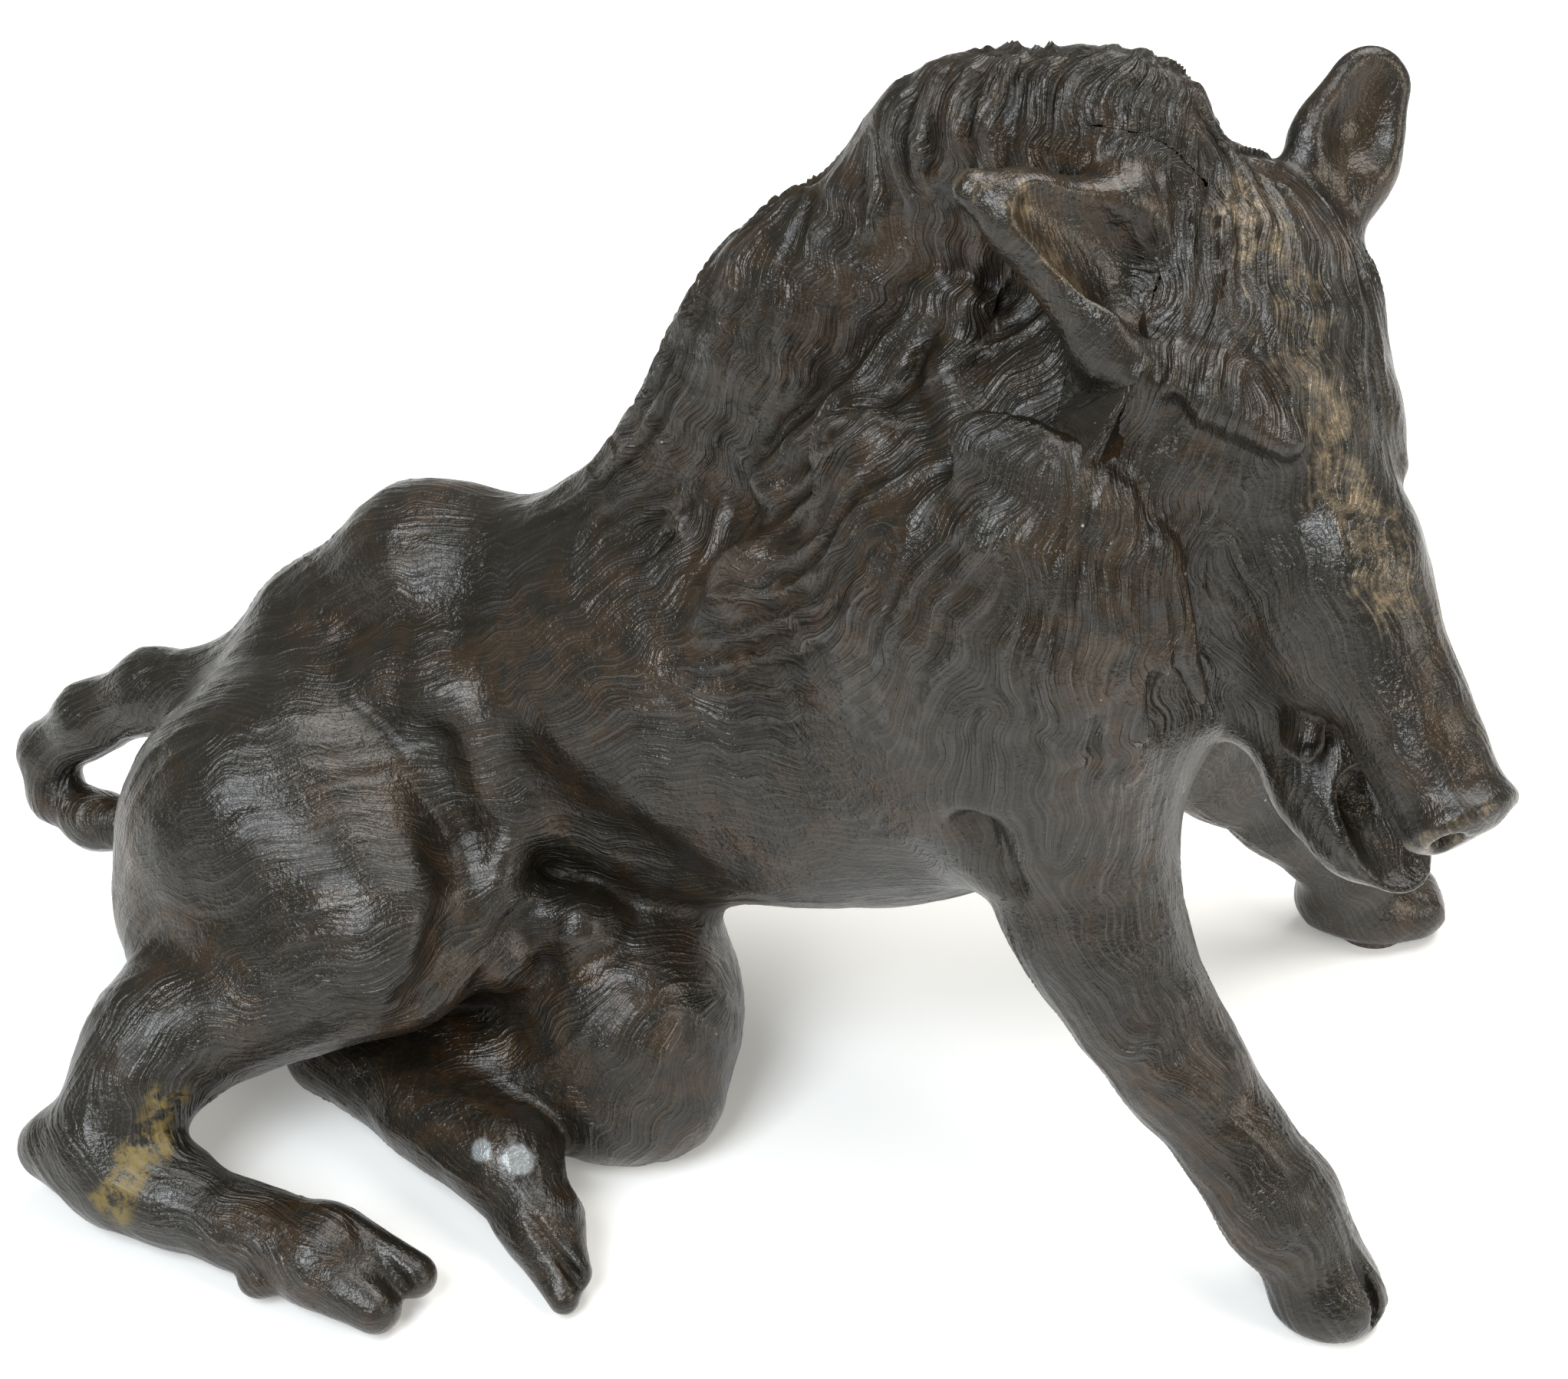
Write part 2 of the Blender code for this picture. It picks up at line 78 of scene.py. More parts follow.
class Mass:
    """Ellipsoid: centre, half axes, orientation (columns), blend width; op 'u' adds, 's' carves."""

    def __init__(self, centre, half, rot=None, k=8.0, op='u'):
        self.c, self.r = np.array(centre, F), np.array(half, F)
        self.R = (np.eye(3) if rot is None else rot).astype(F)
        self.k, self.op = k, op

    def box(self):
        e = np.sqrt(((self.R * self.r) ** 2).sum(1))
        return self.c - e, self.c + e

    def dist(self, p):
        q = (p - self.c) @ self.R
        k0 = np.sqrt(((q / self.r) ** 2).sum(-1))
        k1 = np.sqrt(((q / (self.r * self.r)) ** 2).sum(-1))
        return k0 * (k0 - 1) / np.maximum(k1, 1e-6)


class Limb:
    """Round cone from a to b; squeeze = (axis, factor) flattens its section."""

    def __init__(self, a, b, ra, rb, k=8.0, squeeze=None, op='u'):
        self.a, self.b = np.array(a, F), np.array(b, F)
        self.ra, self.rb, self.k, self.op = ra, rb, k, op
        self.n = None
        if squeeze is not None:
            ax = (self.b - self.a) / np.linalg.norm(self.b - self.a)
            n = np.array(squeeze[0], float)
            n = n - ax * (n @ ax)
            self.n, self.f = (n / np.linalg.norm(n)).astype(F), squeeze[1]

    def box(self):
        return (np.minimum(self.a - self.ra, self.b - self.rb),
                np.maximum(self.a + self.ra, self.b + self.rb))

    def dist(self, p):
        ba, pa = self.b - self.a, p - self.a
        if self.n is not None:
            pa = pa + (pa @ self.n)[..., None] * (1 / self.f - 1) * self.n
        l2 = float(ba @ ba)
        rr = self.ra - self.rb
        a2, il2 = l2 - rr * rr, 1 / l2
        y = pa @ ba
        z = y - l2
        x2 = ((pa * l2 - y[..., None] * ba) ** 2).sum(-1)
        y2, z2 = y * y * l2, z * z * l2
        k = np.sign(rr) * rr * rr * x2
        r = (np.sqrt(np.maximum(x2 * a2 * il2, 0)) + y * rr) * il2 - self.ra
        r = np.where(np.sign(y) * a2 * y2 < k, np.sqrt(x2 + y2) * il2 - self.ra, r)
        r = np.where(np.sign(z) * a2 * z2 > k, np.sqrt(x2 + z2) * il2 - self.rb, r)
        return r * (self.f ** 0.5 if self.n is not None else 1.0)


class Group:
    """Several shapes worked out on their own first, then added as one."""

    def __init__(self, shapes, k):
        self.shapes, self.k, self.op = shapes, k, 'u'

    def box(self):
        solid = [s.box() for s in self.shapes if s.op == 'u']
        return np.min([b[0] for b in solid], 0), np.max([b[1] for b in solid], 0)

    def dist(self, p):
        return at(self.shapes, p.reshape(-1, 3)).reshape(p.shape[:-1])


def join(a, b, k):
    hh = np.maximum(k - np.abs(a - b), 0) / k
    return np.minimum(a, b) - hh * hh * k * 0.25


def put(old, new, s):
    return join(old, new, s.k) if s.op == 'u' else -join(-old, new, s.k)


def at(shapes, pts):
    """Signed distance of the blended shapes at scattered points."""
    pts = np.asarray(pts, F)
    out = np.full(len(pts), 60.0, F)
    for s in shapes:
        lo, hi = s.box()
        m = s.k + 4
        i = np.nonzero(((pts > lo - m) & (pts < hi + m)).all(1))[0]
        if len(i):
            out[i] = put(out[i], s.dist(pts[i]).astype(F), s)
    return out


def lattice(shapes, lo, hi, step):
    """The same on a regular grid."""
    lo = np.array(lo, float)
    n = np.ceil((np.array(hi, float) - lo) / step).astype(int) + 1
    grid = np.full(n, 60.0, F)
    axes = [(lo[i] + step * np.arange(n[i])).astype(F) for i in range(3)]
    for s in shapes:
        bl, bh = s.box()
        m = s.k + 4
        i0 = np.maximum(np.floor((bl - m - lo) / step).astype(int), 0)
        i1 = np.minimum(np.ceil((bh + m - lo) / step).astype(int) + 1, n)
        if (i1 <= i0).any():
            continue
        p = np.stack(np.meshgrid(*[axes[i][i0[i]:i1[i]] for i in range(3)], indexing='ij'), -1)
        part = tuple(slice(i0[i], i1[i]) for i in range(3))
        grid[part] = put(grid[part], s.dist(p).astype(F), s)
    return grid, lo


# ---------------------------------------------------------------- the boar's body plan
YAW, PITCH, ROLL = np.radians(46.5), np.radians(37.5), np.radians(1.0)
NOSE = np.array([np.cos(YAW) * np.cos(PITCH), -np.sin(YAW) * np.cos(PITCH), -np.sin(PITCH)])
LEFT = np.array([np.sin(YAW), np.cos(YAW), 0.0])
UP = np.cross(NOSE, LEFT)
LEFT, UP = LEFT * np.cos(ROLL) + UP * np.sin(ROLL), UP * np.cos(ROLL) - LEFT * np.sin(ROLL)
HEAD = np.stack([NOSE, LEFT, UP], 1)
POLL = np.array([83.3, -2.0, 183.0])


def h(a, b, c):
    return POLL + HEAD @ np.array([a, b, c], float)


trunk = [
    Mass((-99, -2, 51.5), (34, 31, 30), turned(0, -18, 0), 12),
    Limb((-88, 2, 58), (-30, 2, 81), 29, 36, 16),
    Limb((-97, 6, 81.5), (-75, 9, 99), 14, 13.5, 12),
    Limb((-75, 9, 99), (-48, 7, 101.5), 13.5, 13, 12),
    Mass((2, 0, 88), (52, 43, 47), turned(0, -10, 0), 18),
    Mass((40, -2, 115), (44, 44, 60), turned(0, 15, 0), 20),
    Limb((50, -2, 130), (76, -2, 170), 44, 31, 20),
]
crest = [
    Limb((-32, 5, 107), (-15, 5.2, 133), 13, 14, 18, ((0, 1, 0), 0.7)),
    Limb((-15, 5.2, 133), (0, 5.6, 156), 14, 17.5, 16, ((0, 1, 0), 0.7)),
    Limb((0, 5.6, 156), (10, 6, 169), 17.5, 18.2, 16, ((0, 1, 0), 0.65)),
    Limb((10, 6, 169), (36, 7, 200.5), 18.2, 17.8, 16, ((0, 1, 0), 0.65)),
    Limb((36, 7, 200.5), (57, 4.5, 208.5), 17.8, 17.8, 14, ((0, 1, 0), 0.65)),
]
shoulders = [
    Mass((38, -34, 128), (24, 14, 34), turned(0, 20, 0), 16),
    Mass((38, 32, 120), (24, 14, 34), turned(0, 20, 0), 16),
    Limb((54, -28, 104), (68.5, -38, 74), 24, 15, 14),
    Limb((66, -38, 72), (77, -44, 57), 13.2, 12, 8),
    Limb((56, 26, 100), (72, 32, 66), 22, 16, 14),
    Limb((72, 33, 66), (84, 37, 53), 13.5, 11.5, 8),
]
haunches = [
    Mass((-100, -32, 50), (30, 26, 31), turned(0, -25, 0), 12),
    Limb((-94, -28, 62), (-70, -46, 53), 27, 19, 14),
    Limb((-72, -48, 49), (-112.5, -70.5, 29), 19, 10.6, 12),
    Limb((-112.5, -70.5, 29), (-118, -82, 18), 10.6, 9.8, 8),
    Mass((-114, -42, 40), (13, 14, 14), None, 10),
    Limb((-88, 14, 32), (-26, -30, 25), 32, 23, 14),
    Mass((-22, -40, 24), (19, 18, 22), None, 10),
    Mass((-20, -46, 13), (16, 13, 13), None, 8),
    Limb((-28, -50, 15), (-84, -42, 13), 13, 11, 6),
    Limb((-85, -46, 13), (-40, -70.5, 14.5), 9.2, 8.8, 5),
    Limb((-43, -36, 49), (-33, -38, 50), 6, 7, 5),
    Mass((-55, -45, 46), (6, 6, 7), None, 4),
    Mass((-47, -44, 44), (6, 6, 7), None, 4),
]
skull = [
    Mass(h(-4, -1, -8), (27, 19, 22), HEAD, 12),
    Limb(h(-8, -1, -1), h(45, -1, -7), 15.5, 12, 12),
    Limb(h(45, -1, -8), h(88, 0.3, -11.5), 12, 8.2, 10),
    Mass(h(23, -11, 0), (9, 6, 6), HEAD, 6),
    Mass(h(23, 11, 0), (9, 6, 6), HEAD, 6),
    Mass(h(-2, 10, -8), (16, 14, 14), HEAD, 10),
    Mass(h(6, -12, -28), (30, 16, 22), HEAD, 14),
    Mass(h(6, 9, -30), (30, 12, 22), HEAD, 14),
    Limb(h(14, 0, -40), h(58, 0, -37), 19, 12.5, 12),
    Limb(h(58, 0, -40), h(76, -0.5, -41), 13, 11, 6), Limb(h(76, -0.5, -41), h(86, -0.5, -39), 11, 9.6, 5),
    Limb(h(86, -0.5, -39), h(94.5, 0, -35), 9.6, 6.6, 5),
]
limbs = {
    "right_foreleg": [
        Limb((66, -38, 72), (86.5, -48, 46), 13.2, 11.3, 8), Limb((86.5, -48, 46), (108, -58, 23.5), 11.3, 10.8, 6),
        Limb((108, -58, 23.5), (118, -62, 11), 10.8, 9.2, 5), Limb((114.5, -59, 10), (123, -64, 8), 8.5, 6, 4),
        Limb((115, -64, 10), (120.5, -66, 8), 6, 5.5, 3), Mass((119.5, -63.8, 6), (10.4, 9.4, 7.5), None, 4),
        Limb((121.5, -62.5, 25), (128.5, -67.5, 7), 0.8, 2.0, 1.2, None, 's')],
    "left_foreleg": [
        Limb((73, 33, 66), (99, 42, 37), 13, 9.2, 8), Limb((99, 42, 37), (115, 48, 17), 9.2, 8.4, 6),
        Limb((115, 48, 17), (119, 49.5, 9), 8.4, 7.5, 4),
        Limb((112, 48, 9), (131, 50, 7), 7.6, 6.2, 5), Limb((115, 53, 8), (130, 56, 7), 6.2, 5.6, 3),
        Mass((121.5, 50, 6), (11.5, 9.6, 7), None, 4)],
    "right_hind_leg": [
        Limb((-112, -66, 34), (-119, -84, 16), 11.2, 10, 8), Limb((-130, -85, 14), (-104, -89, 11), 5.5, 9, 8),
        Limb((-112, -88, 11), (-70, -97, 9.8), 9, 9, 6), Limb((-70, -94, 11), (-51.5, -97.5, 9.3), 7.2, 4.4, 2.5),
        Limb((-71, -99, 9.5), (-57, -105, 7.2), 7.6, 5.0, 2.5), Mass((-81, -102.5, 6.5), (4.2, 3.2, 3.4), None, 2),
        Limb((-68, -90.5, 19.5), (-58.5, -98.8, 16.6), 0.8, 1.9, 1.2, None, 's'), Limb((-58.5, -98.8, 16.6), (-49, -104.8, 9), 1.9, 2.6, 1.2, None, 's')],
    "left_hind_foot": [
        Limb((-60, -60, 14), (-40, -70.5, 14.5), 9.2, 8.8, 5), Limb((-40, -70.5, 14.5), (-30.5, -81, 10.5), 8.8, 7.5, 5),
        Limb((-31, -80, 10.5), (-22.5, -89.5, 8), 7.0, 3.8, 3.0), Limb((-34, -80, 10), (-23, -94, 5.4), 6.2, 2.9, 2.5),
        Limb((-33, -85, 18), (-20, -92.5, 9), 0.8, 1.5, 1.2, None, 's')],
}
JOINTS = {
    "right_foreleg": ((71, -41, 67), (0.58, -0.26, -0.77)),
    "left_foreleg": ((78, 34, 60), (0.62, 0.22, -0.75)),
    "right_hind_leg": ((-118.4, -73, 27), (-0.15, -0.62, -0.77)),
    "left_hind_foot": ((-54, -63.5, 14), (0.84, -0.54, -0.06)),
}
# muzzle, mouth, eyes and the loose skin: small shapes that ride on the big ones
face = [
    Limb(h(52, 0, -14), h(88.5, -0.8, -14), 11, 8.4, 7),                      # upper lip
    Mass(h(40, -10, -20), (24, 8, 12), HEAD, 9), Mass(h(40, 10, -20), (24, 8, 12), HEAD, 9),   # cheek muscle
    Mass(h(93.5, -0.5, -11.5), (4.0, 10.8, 9.6), HEAD, 3),                      # snout disc
    Mass(h(101.5, 0, -12), (4, 8.5, 7), HEAD, 2.5, 's'),
    Mass(h(97.5, -6.4, -9.5), (5, 2.9, 3.7), HEAD, 1.2, 's'), Mass(h(97.5, 5.4, -9.0), (5, 2.6, 3.5), HEAD, 1.2, 's'),
    Limb(h(80, -1.5, -34), h(94.5, -1, -29.5), 5.2, 7.8, 2.0, (tuple(LEFT), 1.2), 's'),    # mouth
    Limb(h(60, -0.5, -41), h(82, -1.5, -41), 5.5, 4.0, 2, (tuple(UP), 0.6)),      # tongue
    Mass(h(68, -10.5, -28), (5, 3.2, 4.5), HEAD, 2.5), Mass(h(68, 10.5, -28), (5, 3.2, 4.5), HEAD, 2.5),
    Limb(h(69, -11.5, -31), h(72, -13.5, -26), 2.4, 1.5, 2.5), Limb(h(69, 11.5, -31), h(72, 14, -25), 2.2, 1.3, 1),
    Limb((60, -28.5, 187), (77, -30, 182.5), 3.4, 4.0, 6), Limb((77, -30, 182.5), (92, -33, 177), 4.0, 2.6, 6),   # brow over the near eye
    Limb((61, -33, 182), (71, -34.8, 178.8), 1.4, 3.8, 4, None, 's'), Limb((71, -34.8, 178.8), (89, -37.2, 171.5), 3.8, 1.2, 4, None, 's'),
    Limb((79, -29, 168), (69, -27.5, 178.5), 1.6, 3.4, 8), Limb((61, -10.5, 206.5), (74, -8, 192), 3.4, 5.0, 8),   # roots of the near ear
    Limb(h(14, -17, -5), h(31, -14.5, -5), 3.0, 2.0, 2.5, None, 's'),        # eye hollows
    Limb(h(14, 17, -5), h(31, 14.5, -5), 3.0, 2.0, 2.5, None, 's'),
    Mass(h(24, -14.2, -4.6), (4.2, 2.6, 2.2), HEAD, 1.2), Mass(h(24, 14.6, -4.2), (4.2, 3.2, 3.0), HEAD, 0.8),
    Limb(h(8, -17.5, -1.5), h(34, -12.5, -0.5), 3.0, 2.2, 3), Limb(h(8, 17.5, -1.5), h(34, 12.5, -0.5), 3.0, 2.2, 3),
]
# ears: horns of metal opened on one side; tail: a round section that loops back to the thigh
OPEN_R = np.array([0.536, -0.646, 0.545])
OPEN_L = np.array([0.45, -0.76, 0.47])
EAR_R = h(-4, -15, -2), np.array((45.7, -22.1, 208.5)), np.array((36.7, -23.1, 212.5))
EAR_L = h(-5, 14, 2), np.array((95.0, 20.5, 203.0)), np.array((97.8, 26.0, 212.5))
loose = {
    "right_ear": [Group([
        Limb((70, -12.5, 187), EAR_R[1] - OPEN_R * 1.5, 17.5, 6.2, 5, (tuple(OPEN_R), 0.42)),
        Limb(EAR_R[1], EAR_R[2], 5.6, 3.6, 4, (tuple(OPEN_R), 0.8)),
        Limb(EAR_R[1], (61, -10.5, 206.5), 4.6, 4.0, 5),
        Limb((69, -27.5, 178.5), (60, -26, 192), 3.6, 5.0, 6), Limb((60, -26, 192), EAR_R[1], 5.0, 5.0, 5),
        Limb((70, -12.5, 187) + OPEN_R * 8.0, EAR_R[1] + OPEN_R * 4.2, 13.5, 4.0, 2.5, (tuple(OPEN_R), 0.55), 's'),
    ], 5.0)],
    "left_ear": [Group([
        Limb(EAR_L[0], EAR_L[1], 6.2, 9.2, 5, (tuple(OPEN_L), 0.5)),
        Limb(EAR_L[1], EAR_L[2], 9.2, 7.8, 5, (tuple(OPEN_L), 0.5)),
        Limb(EAR_L[0] * 0.45 + EAR_L[1] * 0.55 + OPEN_L * 6.4, EAR_L[1] + OPEN_L * 6.4, 5.0, 7.0, 2.5, (tuple(OPEN_L), 0.55), 's'),
        Limb((96.1, 22.7, 206.8) + OPEN_L * 4.8, EAR_L[2] + OPEN_L * 4.8, 6.8, 5.6, 2.5, (tuple(OPEN_L), 0.68), 's'),
    ], 4.0)],
}
track = [((-116, 0, 68), 8.5), ((-136, 3, 60), 8.6), ((-151, 3, 51), 7.6), ((-163, 2, 40), 6.0),
         ((-161, -2, 31.5), 5.2), ((-150, -6, 29.5), 5.6), ((-139, -8, 31), 5.6)]
loose["tail"] = [Limb(a, b, ra, rb, 4) for (a, ra), (b, rb) in zip(track[:-1], track[1:])]
# folds, hollows, bony points and the heavier tufts
extra = [
    Limb((-63, -21, 89), (-53, -27, 76), 6.5, 6.5, 9), Limb((-53, -27, 76), (-51, -38, 58), 6.5, 6.0, 9),   # flank fold
    Limb((-62, -31, 86), (-54, -41, 72), 2.0, 3.8, 7, None, 's'),             # crease in front of the thigh
    Limb((-54, -41, 72), (-51, -56, 58), 3.8, 4.2, 7, None, 's'), Limb((-51, -56, 58), (-57, -64, 48), 4.2, 3.0, 7, None, 's'),
    Limb((-44, -38, 82), (-20, -45, 70), 5.5, 5.5, 11, None, 's'),            # hollow before the fold
    Limb((-20, -45, 70), (-6, -47, 60), 5.0, 3.5, 10, None, 's'),
    Mass((-71, -15, 91), (11, 7, 6), turned(0, -20, 30), 7),                  # point of the hip
    Mass((20, -26, 160), (10, 5, 9), turned(0, 25, 0), 6),
    Mass((0, -29, 130), (8, 4.5, 11), turned(0, 25, 0), 7),
    Limb((2, -18, 146), (17, -15, 164), 4, 3.5, 5), Limb((17, -15, 164), (31, -9, 184), 3.5, 2.5, 5),       # shoulder lock
    Limb((36, -12, 184), (33, -18, 174), 2.5, 3.0, 4), Limb((33, -18, 174), (37, -29, 168), 3.0, 2.0, 4),
    Limb((46, -53, 100), (52, -52, 88), 4.5, 3.0, 4, None, 's'),             # torn hollow at the elbow
]
# cheek ruff: flat pointed tufts that overlap from the ear down to the throat, tips turned toward the muzzle
OUT = np.array((0.15, -0.97, 0.15))
for a, b, w in [((41, -37, 172), (50, -47, 149), 5.5), ((48, -37, 172), (58, -47, 148), 5.5), ((56, -38, 169), (67, -48, 144), 5.5),
                ((64, -40, 163), (76, -47, 138), 5.2), ((72, -41, 155), (83, -45, 131), 5.0), ((46, -45, 158), (54, -51, 137), 5.0),
                ((55, -45, 153), (64, -51, 131), 5.0), ((64, -46, 147), (74, -49, 124), 4.8), ((45, -48, 144), (51, -52, 127), 4.5),
                ((55, -49, 140), (62, -52, 120), 4.5), ((66, -47, 133), (73, -47, 115), 4.2)]:
    extra.append(Limb(a, b, w, 1.0, 4.5, (tuple(OUT), 0.55)))

# ---------------------------------------------------------------- noise, as a sculptor's unevenness
def hashed(ix, iy, iz, seed):
    with np.errstate(over='ignore'):
        n = (ix.astype(np.uint32) * np.uint32(374761393) + iy.astype(np.uint32) * np.uint32(668265263)
             + iz.astype(np.uint32) * np.uint32(2147483647) + np.uint32(seed * 1274126177 & 0xffffffff))
        n = (n ^ (n >> np.uint32(13))) * np.uint32(1274126177)
        n = n ^ (n >> np.uint32(16))
    return (n & np.uint32(0xffff)).astype(F) / 65535 * 2 - 1


def noise(p, size, seed=0):
    """Smooth value noise in -1..1, p is (n, 3) or (n, 2), size the feature size."""
    q = np.asarray(p, F) / size + 1000.0
    if q.shape[1] == 2:
        q = np.concatenate([q, np.zeros((len(q), 1), F)], 1)
    i = np.floor(q).astype(np.int64)
    f = q - i
    f = f * f * f * (f * (f * 6 - 15) + 10)
    out = 0
    for dx in (0, 1):
        wx = f[:, 0] if dx else 1 - f[:, 0]
        for dy in (0, 1):
            wy = f[:, 1] if dy else 1 - f[:, 1]
            for dz in (0, 1):
                wz = f[:, 2] if dz else 1 - f[:, 2]
                out = out + wx * wy * wz * hashed(i[:, 0] + dx, i[:, 1] + dy, i[:, 2] + dz, seed)
    return out


def step_up(x, a, b):
    t = np.clip((x - a) / (b - a), 0, 1)
    return t * t * (3 - 2 * t)


def near(p, centre, radius):
    """1 at the centre, 0 beyond the radius (radius may be three half axes)."""
    r = np.sqrt((((p - np.array(centre, F)) / np.array(radius, F)) ** 2).sum(1))
    return 1 - step_up(r, 0.35, 1.0)


def along(p, pts, radius):
    """Closeness to a polyline: 1 on it, 0 beyond radius; and the position along it, 0..1."""
    pts = np.array(pts, F)
    best, where = np.full(len(p), 1e9, F), np.zeros(len(p), F)
    total = np.linalg.norm(np.diff(pts, axis=0), axis=1)
    start = np.concatenate([[0], np.cumsum(total)])
    for i in range(len(pts) - 1):
        ab = pts[i + 1] - pts[i]
        t = np.clip(((p - pts[i]) @ ab) / (ab @ ab), 0, 1)
        d = np.linalg.norm(p - pts[i] - t[:, None] * ab, axis=1)
        m = d < best
        best[m] = d[m]
        where[m] = ((start[i] + t * total[i]) / start[-1])[m]
    return best / radius, where


# ---------------------------------------------------------------- skins
def nets(g, lo, step):
    """Surface nets: one vertex in each cell that the surface passes, quads between them."""
    s = g < 0
    n = np.array(g.shape)
    c = np.zeros(n - 1, np.int8)
    for dx in (0, 1):
        for dy in (0, 1):
            for dz in (0, 1):
                c += s[dx:n[0] - 1 + dx, dy:n[1] - 1 + dy, dz:n[2] - 1 + dz]
    act = (c > 0) & (c < 8)
    idx = np.argwhere(act)
    ids = np.full(n - 1, -1)
    ids[act] = np.arange(len(idx))
    acc, cnt = np.zeros((len(idx), 3)), np.zeros(len(idx))
    corners = [(a, b, d) for a in (0, 1) for b in (0, 1) for d in (0, 1)]
    for p in corners:
        for q in corners:
            if not (p < q and sum(abs(np.array(p) - q)) == 1):
                continue
            A = g[idx[:, 0] + p[0], idx[:, 1] + p[1], idx[:, 2] + p[2]]
            B = g[idx[:, 0] + q[0], idx[:, 1] + q[1], idx[:, 2] + q[2]]
            m = (A < 0) != (B < 0)
            t = np.where(m, A / np.where(m, A - B, 1), 0)
            acc[m] += (np.array(p) + t[:, None] * (np.array(q) - np.array(p)))[m]
            cnt[m] += 1
    verts = lo + step * (idx + acc / cnt[:, None])
    quads = []
    for ax in range(3):
        a, b = [(1, 2), (2, 0), (0, 1)][ax]
        s0, s1 = [slice(None)] * 3, [slice(None)] * 3
        s0[ax], s1[ax] = slice(0, n[ax] - 1), slice(1, n[ax])
        e = np.argwhere(s[tuple(s0)] != s[tuple(s1)])
        e = e[(e[:, a] > 0) & (e[:, b] > 0) & (e[:, a] < n[a] - 1) & (e[:, b] < n[b] - 1)]
        da, db = np.zeros(3, int), np.zeros(3, int)
        da[a], db[b] = 1, 1
        q = np.stack([ids[tuple((e - da - db).T)], ids[tuple((e - db).T)], ids[tuple(e.T)], ids[tuple((e - da).T)]], 1)
        flip = ~s[tuple(e.T)]
        q[flip] = q[flip][:, ::-1]
        quads.append(q)
    return verts, np.concatenate(quads)


def vertex_normals(v, q):
    n = np.cross(v[q[:, 2]] - v[q[:, 0]], v[q[:, 3]] - v[q[:, 1]])
    out = np.zeros_like(v)
    for i in range(4):
        for j in range(3):
            out[:, j] += np.bincount(q[:, i], weights=n[:, j], minlength=len(v))
    return out / np.maximum(np.linalg.norm(out, axis=1), 1e-9)[:, None]


def ease(v, q, rounds):
    """Even out the quads by moving each vertex toward its neighbours' mean."""
    a = np.concatenate([q[:, 0], q[:, 1], q[:, 2], q[:, 3]])
    b = np.concatenate([q[:, 1], q[:, 2], q[:, 3], q[:, 0]])
    cnt = np.maximum(np.bincount(a, minlength=len(v)) + np.bincount(b, minlength=len(v)), 1)
    for _ in range(rounds):
        m = np.stack([np.bincount(a, weights=v[b, j], minlength=len(v))
                      + np.bincount(b, weights=v[a, j], minlength=len(v)) for j in range(3)], 1) / cnt[:, None]
        v = v + 0.5 * (m - v)
    return v


def settle(dist, v, rounds=2, e=0.12):
    """Newton steps onto the zero level."""
    for _ in range(rounds):
        d = dist(v)
        g = np.stack([(dist(v + e * u) - dist(v - e * u)) / (2 * e) for u in np.eye(3)], 1)
        v = v - g * np.clip(d / np.maximum((g * g).sum(1), 0.3), -1.5, 1.5)[:, None]
    return v


# ---------------------------------------------------------------- pieces and where they part
LIMB_NAMES = ["right_foreleg", "left_foreleg", "right_hind_leg", "left_hind_foot", "right_ear", "left_ear", "tail"]
limb_shapes = dict(limbs)
limb_shapes.update(loose)
JOINTS.update({
    "right_ear": (EAR_R[0] + 0.33 * (EAR_R[1] - EAR_R[0]), EAR_R[1] - EAR_R[0]),
    "left_ear": (EAR_L[0] + 0.35 * (EAR_L[1] - EAR_L[0]), EAR_L[1] - EAR_L[0]),
    "tail": ((-124, 1, 65), (-0.85, 0.1, -0.45)),
})
BODY = trunk + crest + shoulders + haunches + skull + extra + sum(limbs.values(), []) + face + loose["tail"]
EARS = loose["right_ear"] + loose["left_ear"]
ALL = BODY + EARS
SEAM_X = 40.0
NECK_P, NECK_N = np.array((60.0, 0.0, 213.0)), np.array((0.628, -0.662, 0.41))
NECK_N = NECK_N / np.linalg.norm(NECK_N)
FLOOR = 1.2                         # plan height of the standing plane


def side(name, p):
    q, d = JOINTS[name]
    d = np.array(d, float)
    return (p - np.array(q)) @ (d / np.linalg.norm(d))


def limb_near(name, p, reach):
    return at([s for s in limb_shapes[name] if s.op == 'u'], p) < reach


def owner(p):
    """Which casting a point of the skin belongs to: 0 trunk, 1 shoulders, 2 head, 3.. the limbs."""
    o = np.where(p[:, 0] < SEAM_X, 0, np.where((p - NECK_P) @ NECK_N > 0, 2, 1))
    for i, name in enumerate(LIMB_NAMES):
        m = side(name, p) > 0
        if "ear" in name:
            m &= np.linalg.norm(p - JOINTS[name][0], axis=1) < 50
            j = np.nonzero(m)[0]
            d = at(limb_shapes[name], p[j])
            m[j] = (d < at(BODY, p[j])) | ((d < 6.5) & ((p[j] - NECK_P) @ NECK_N > 0))
        else:
            m &= limb_near(name, p, 5.0)
        if name == "left_hind_foot":
            m &= p[:, 2] < 40
        o[m] = 3 + i
    return o


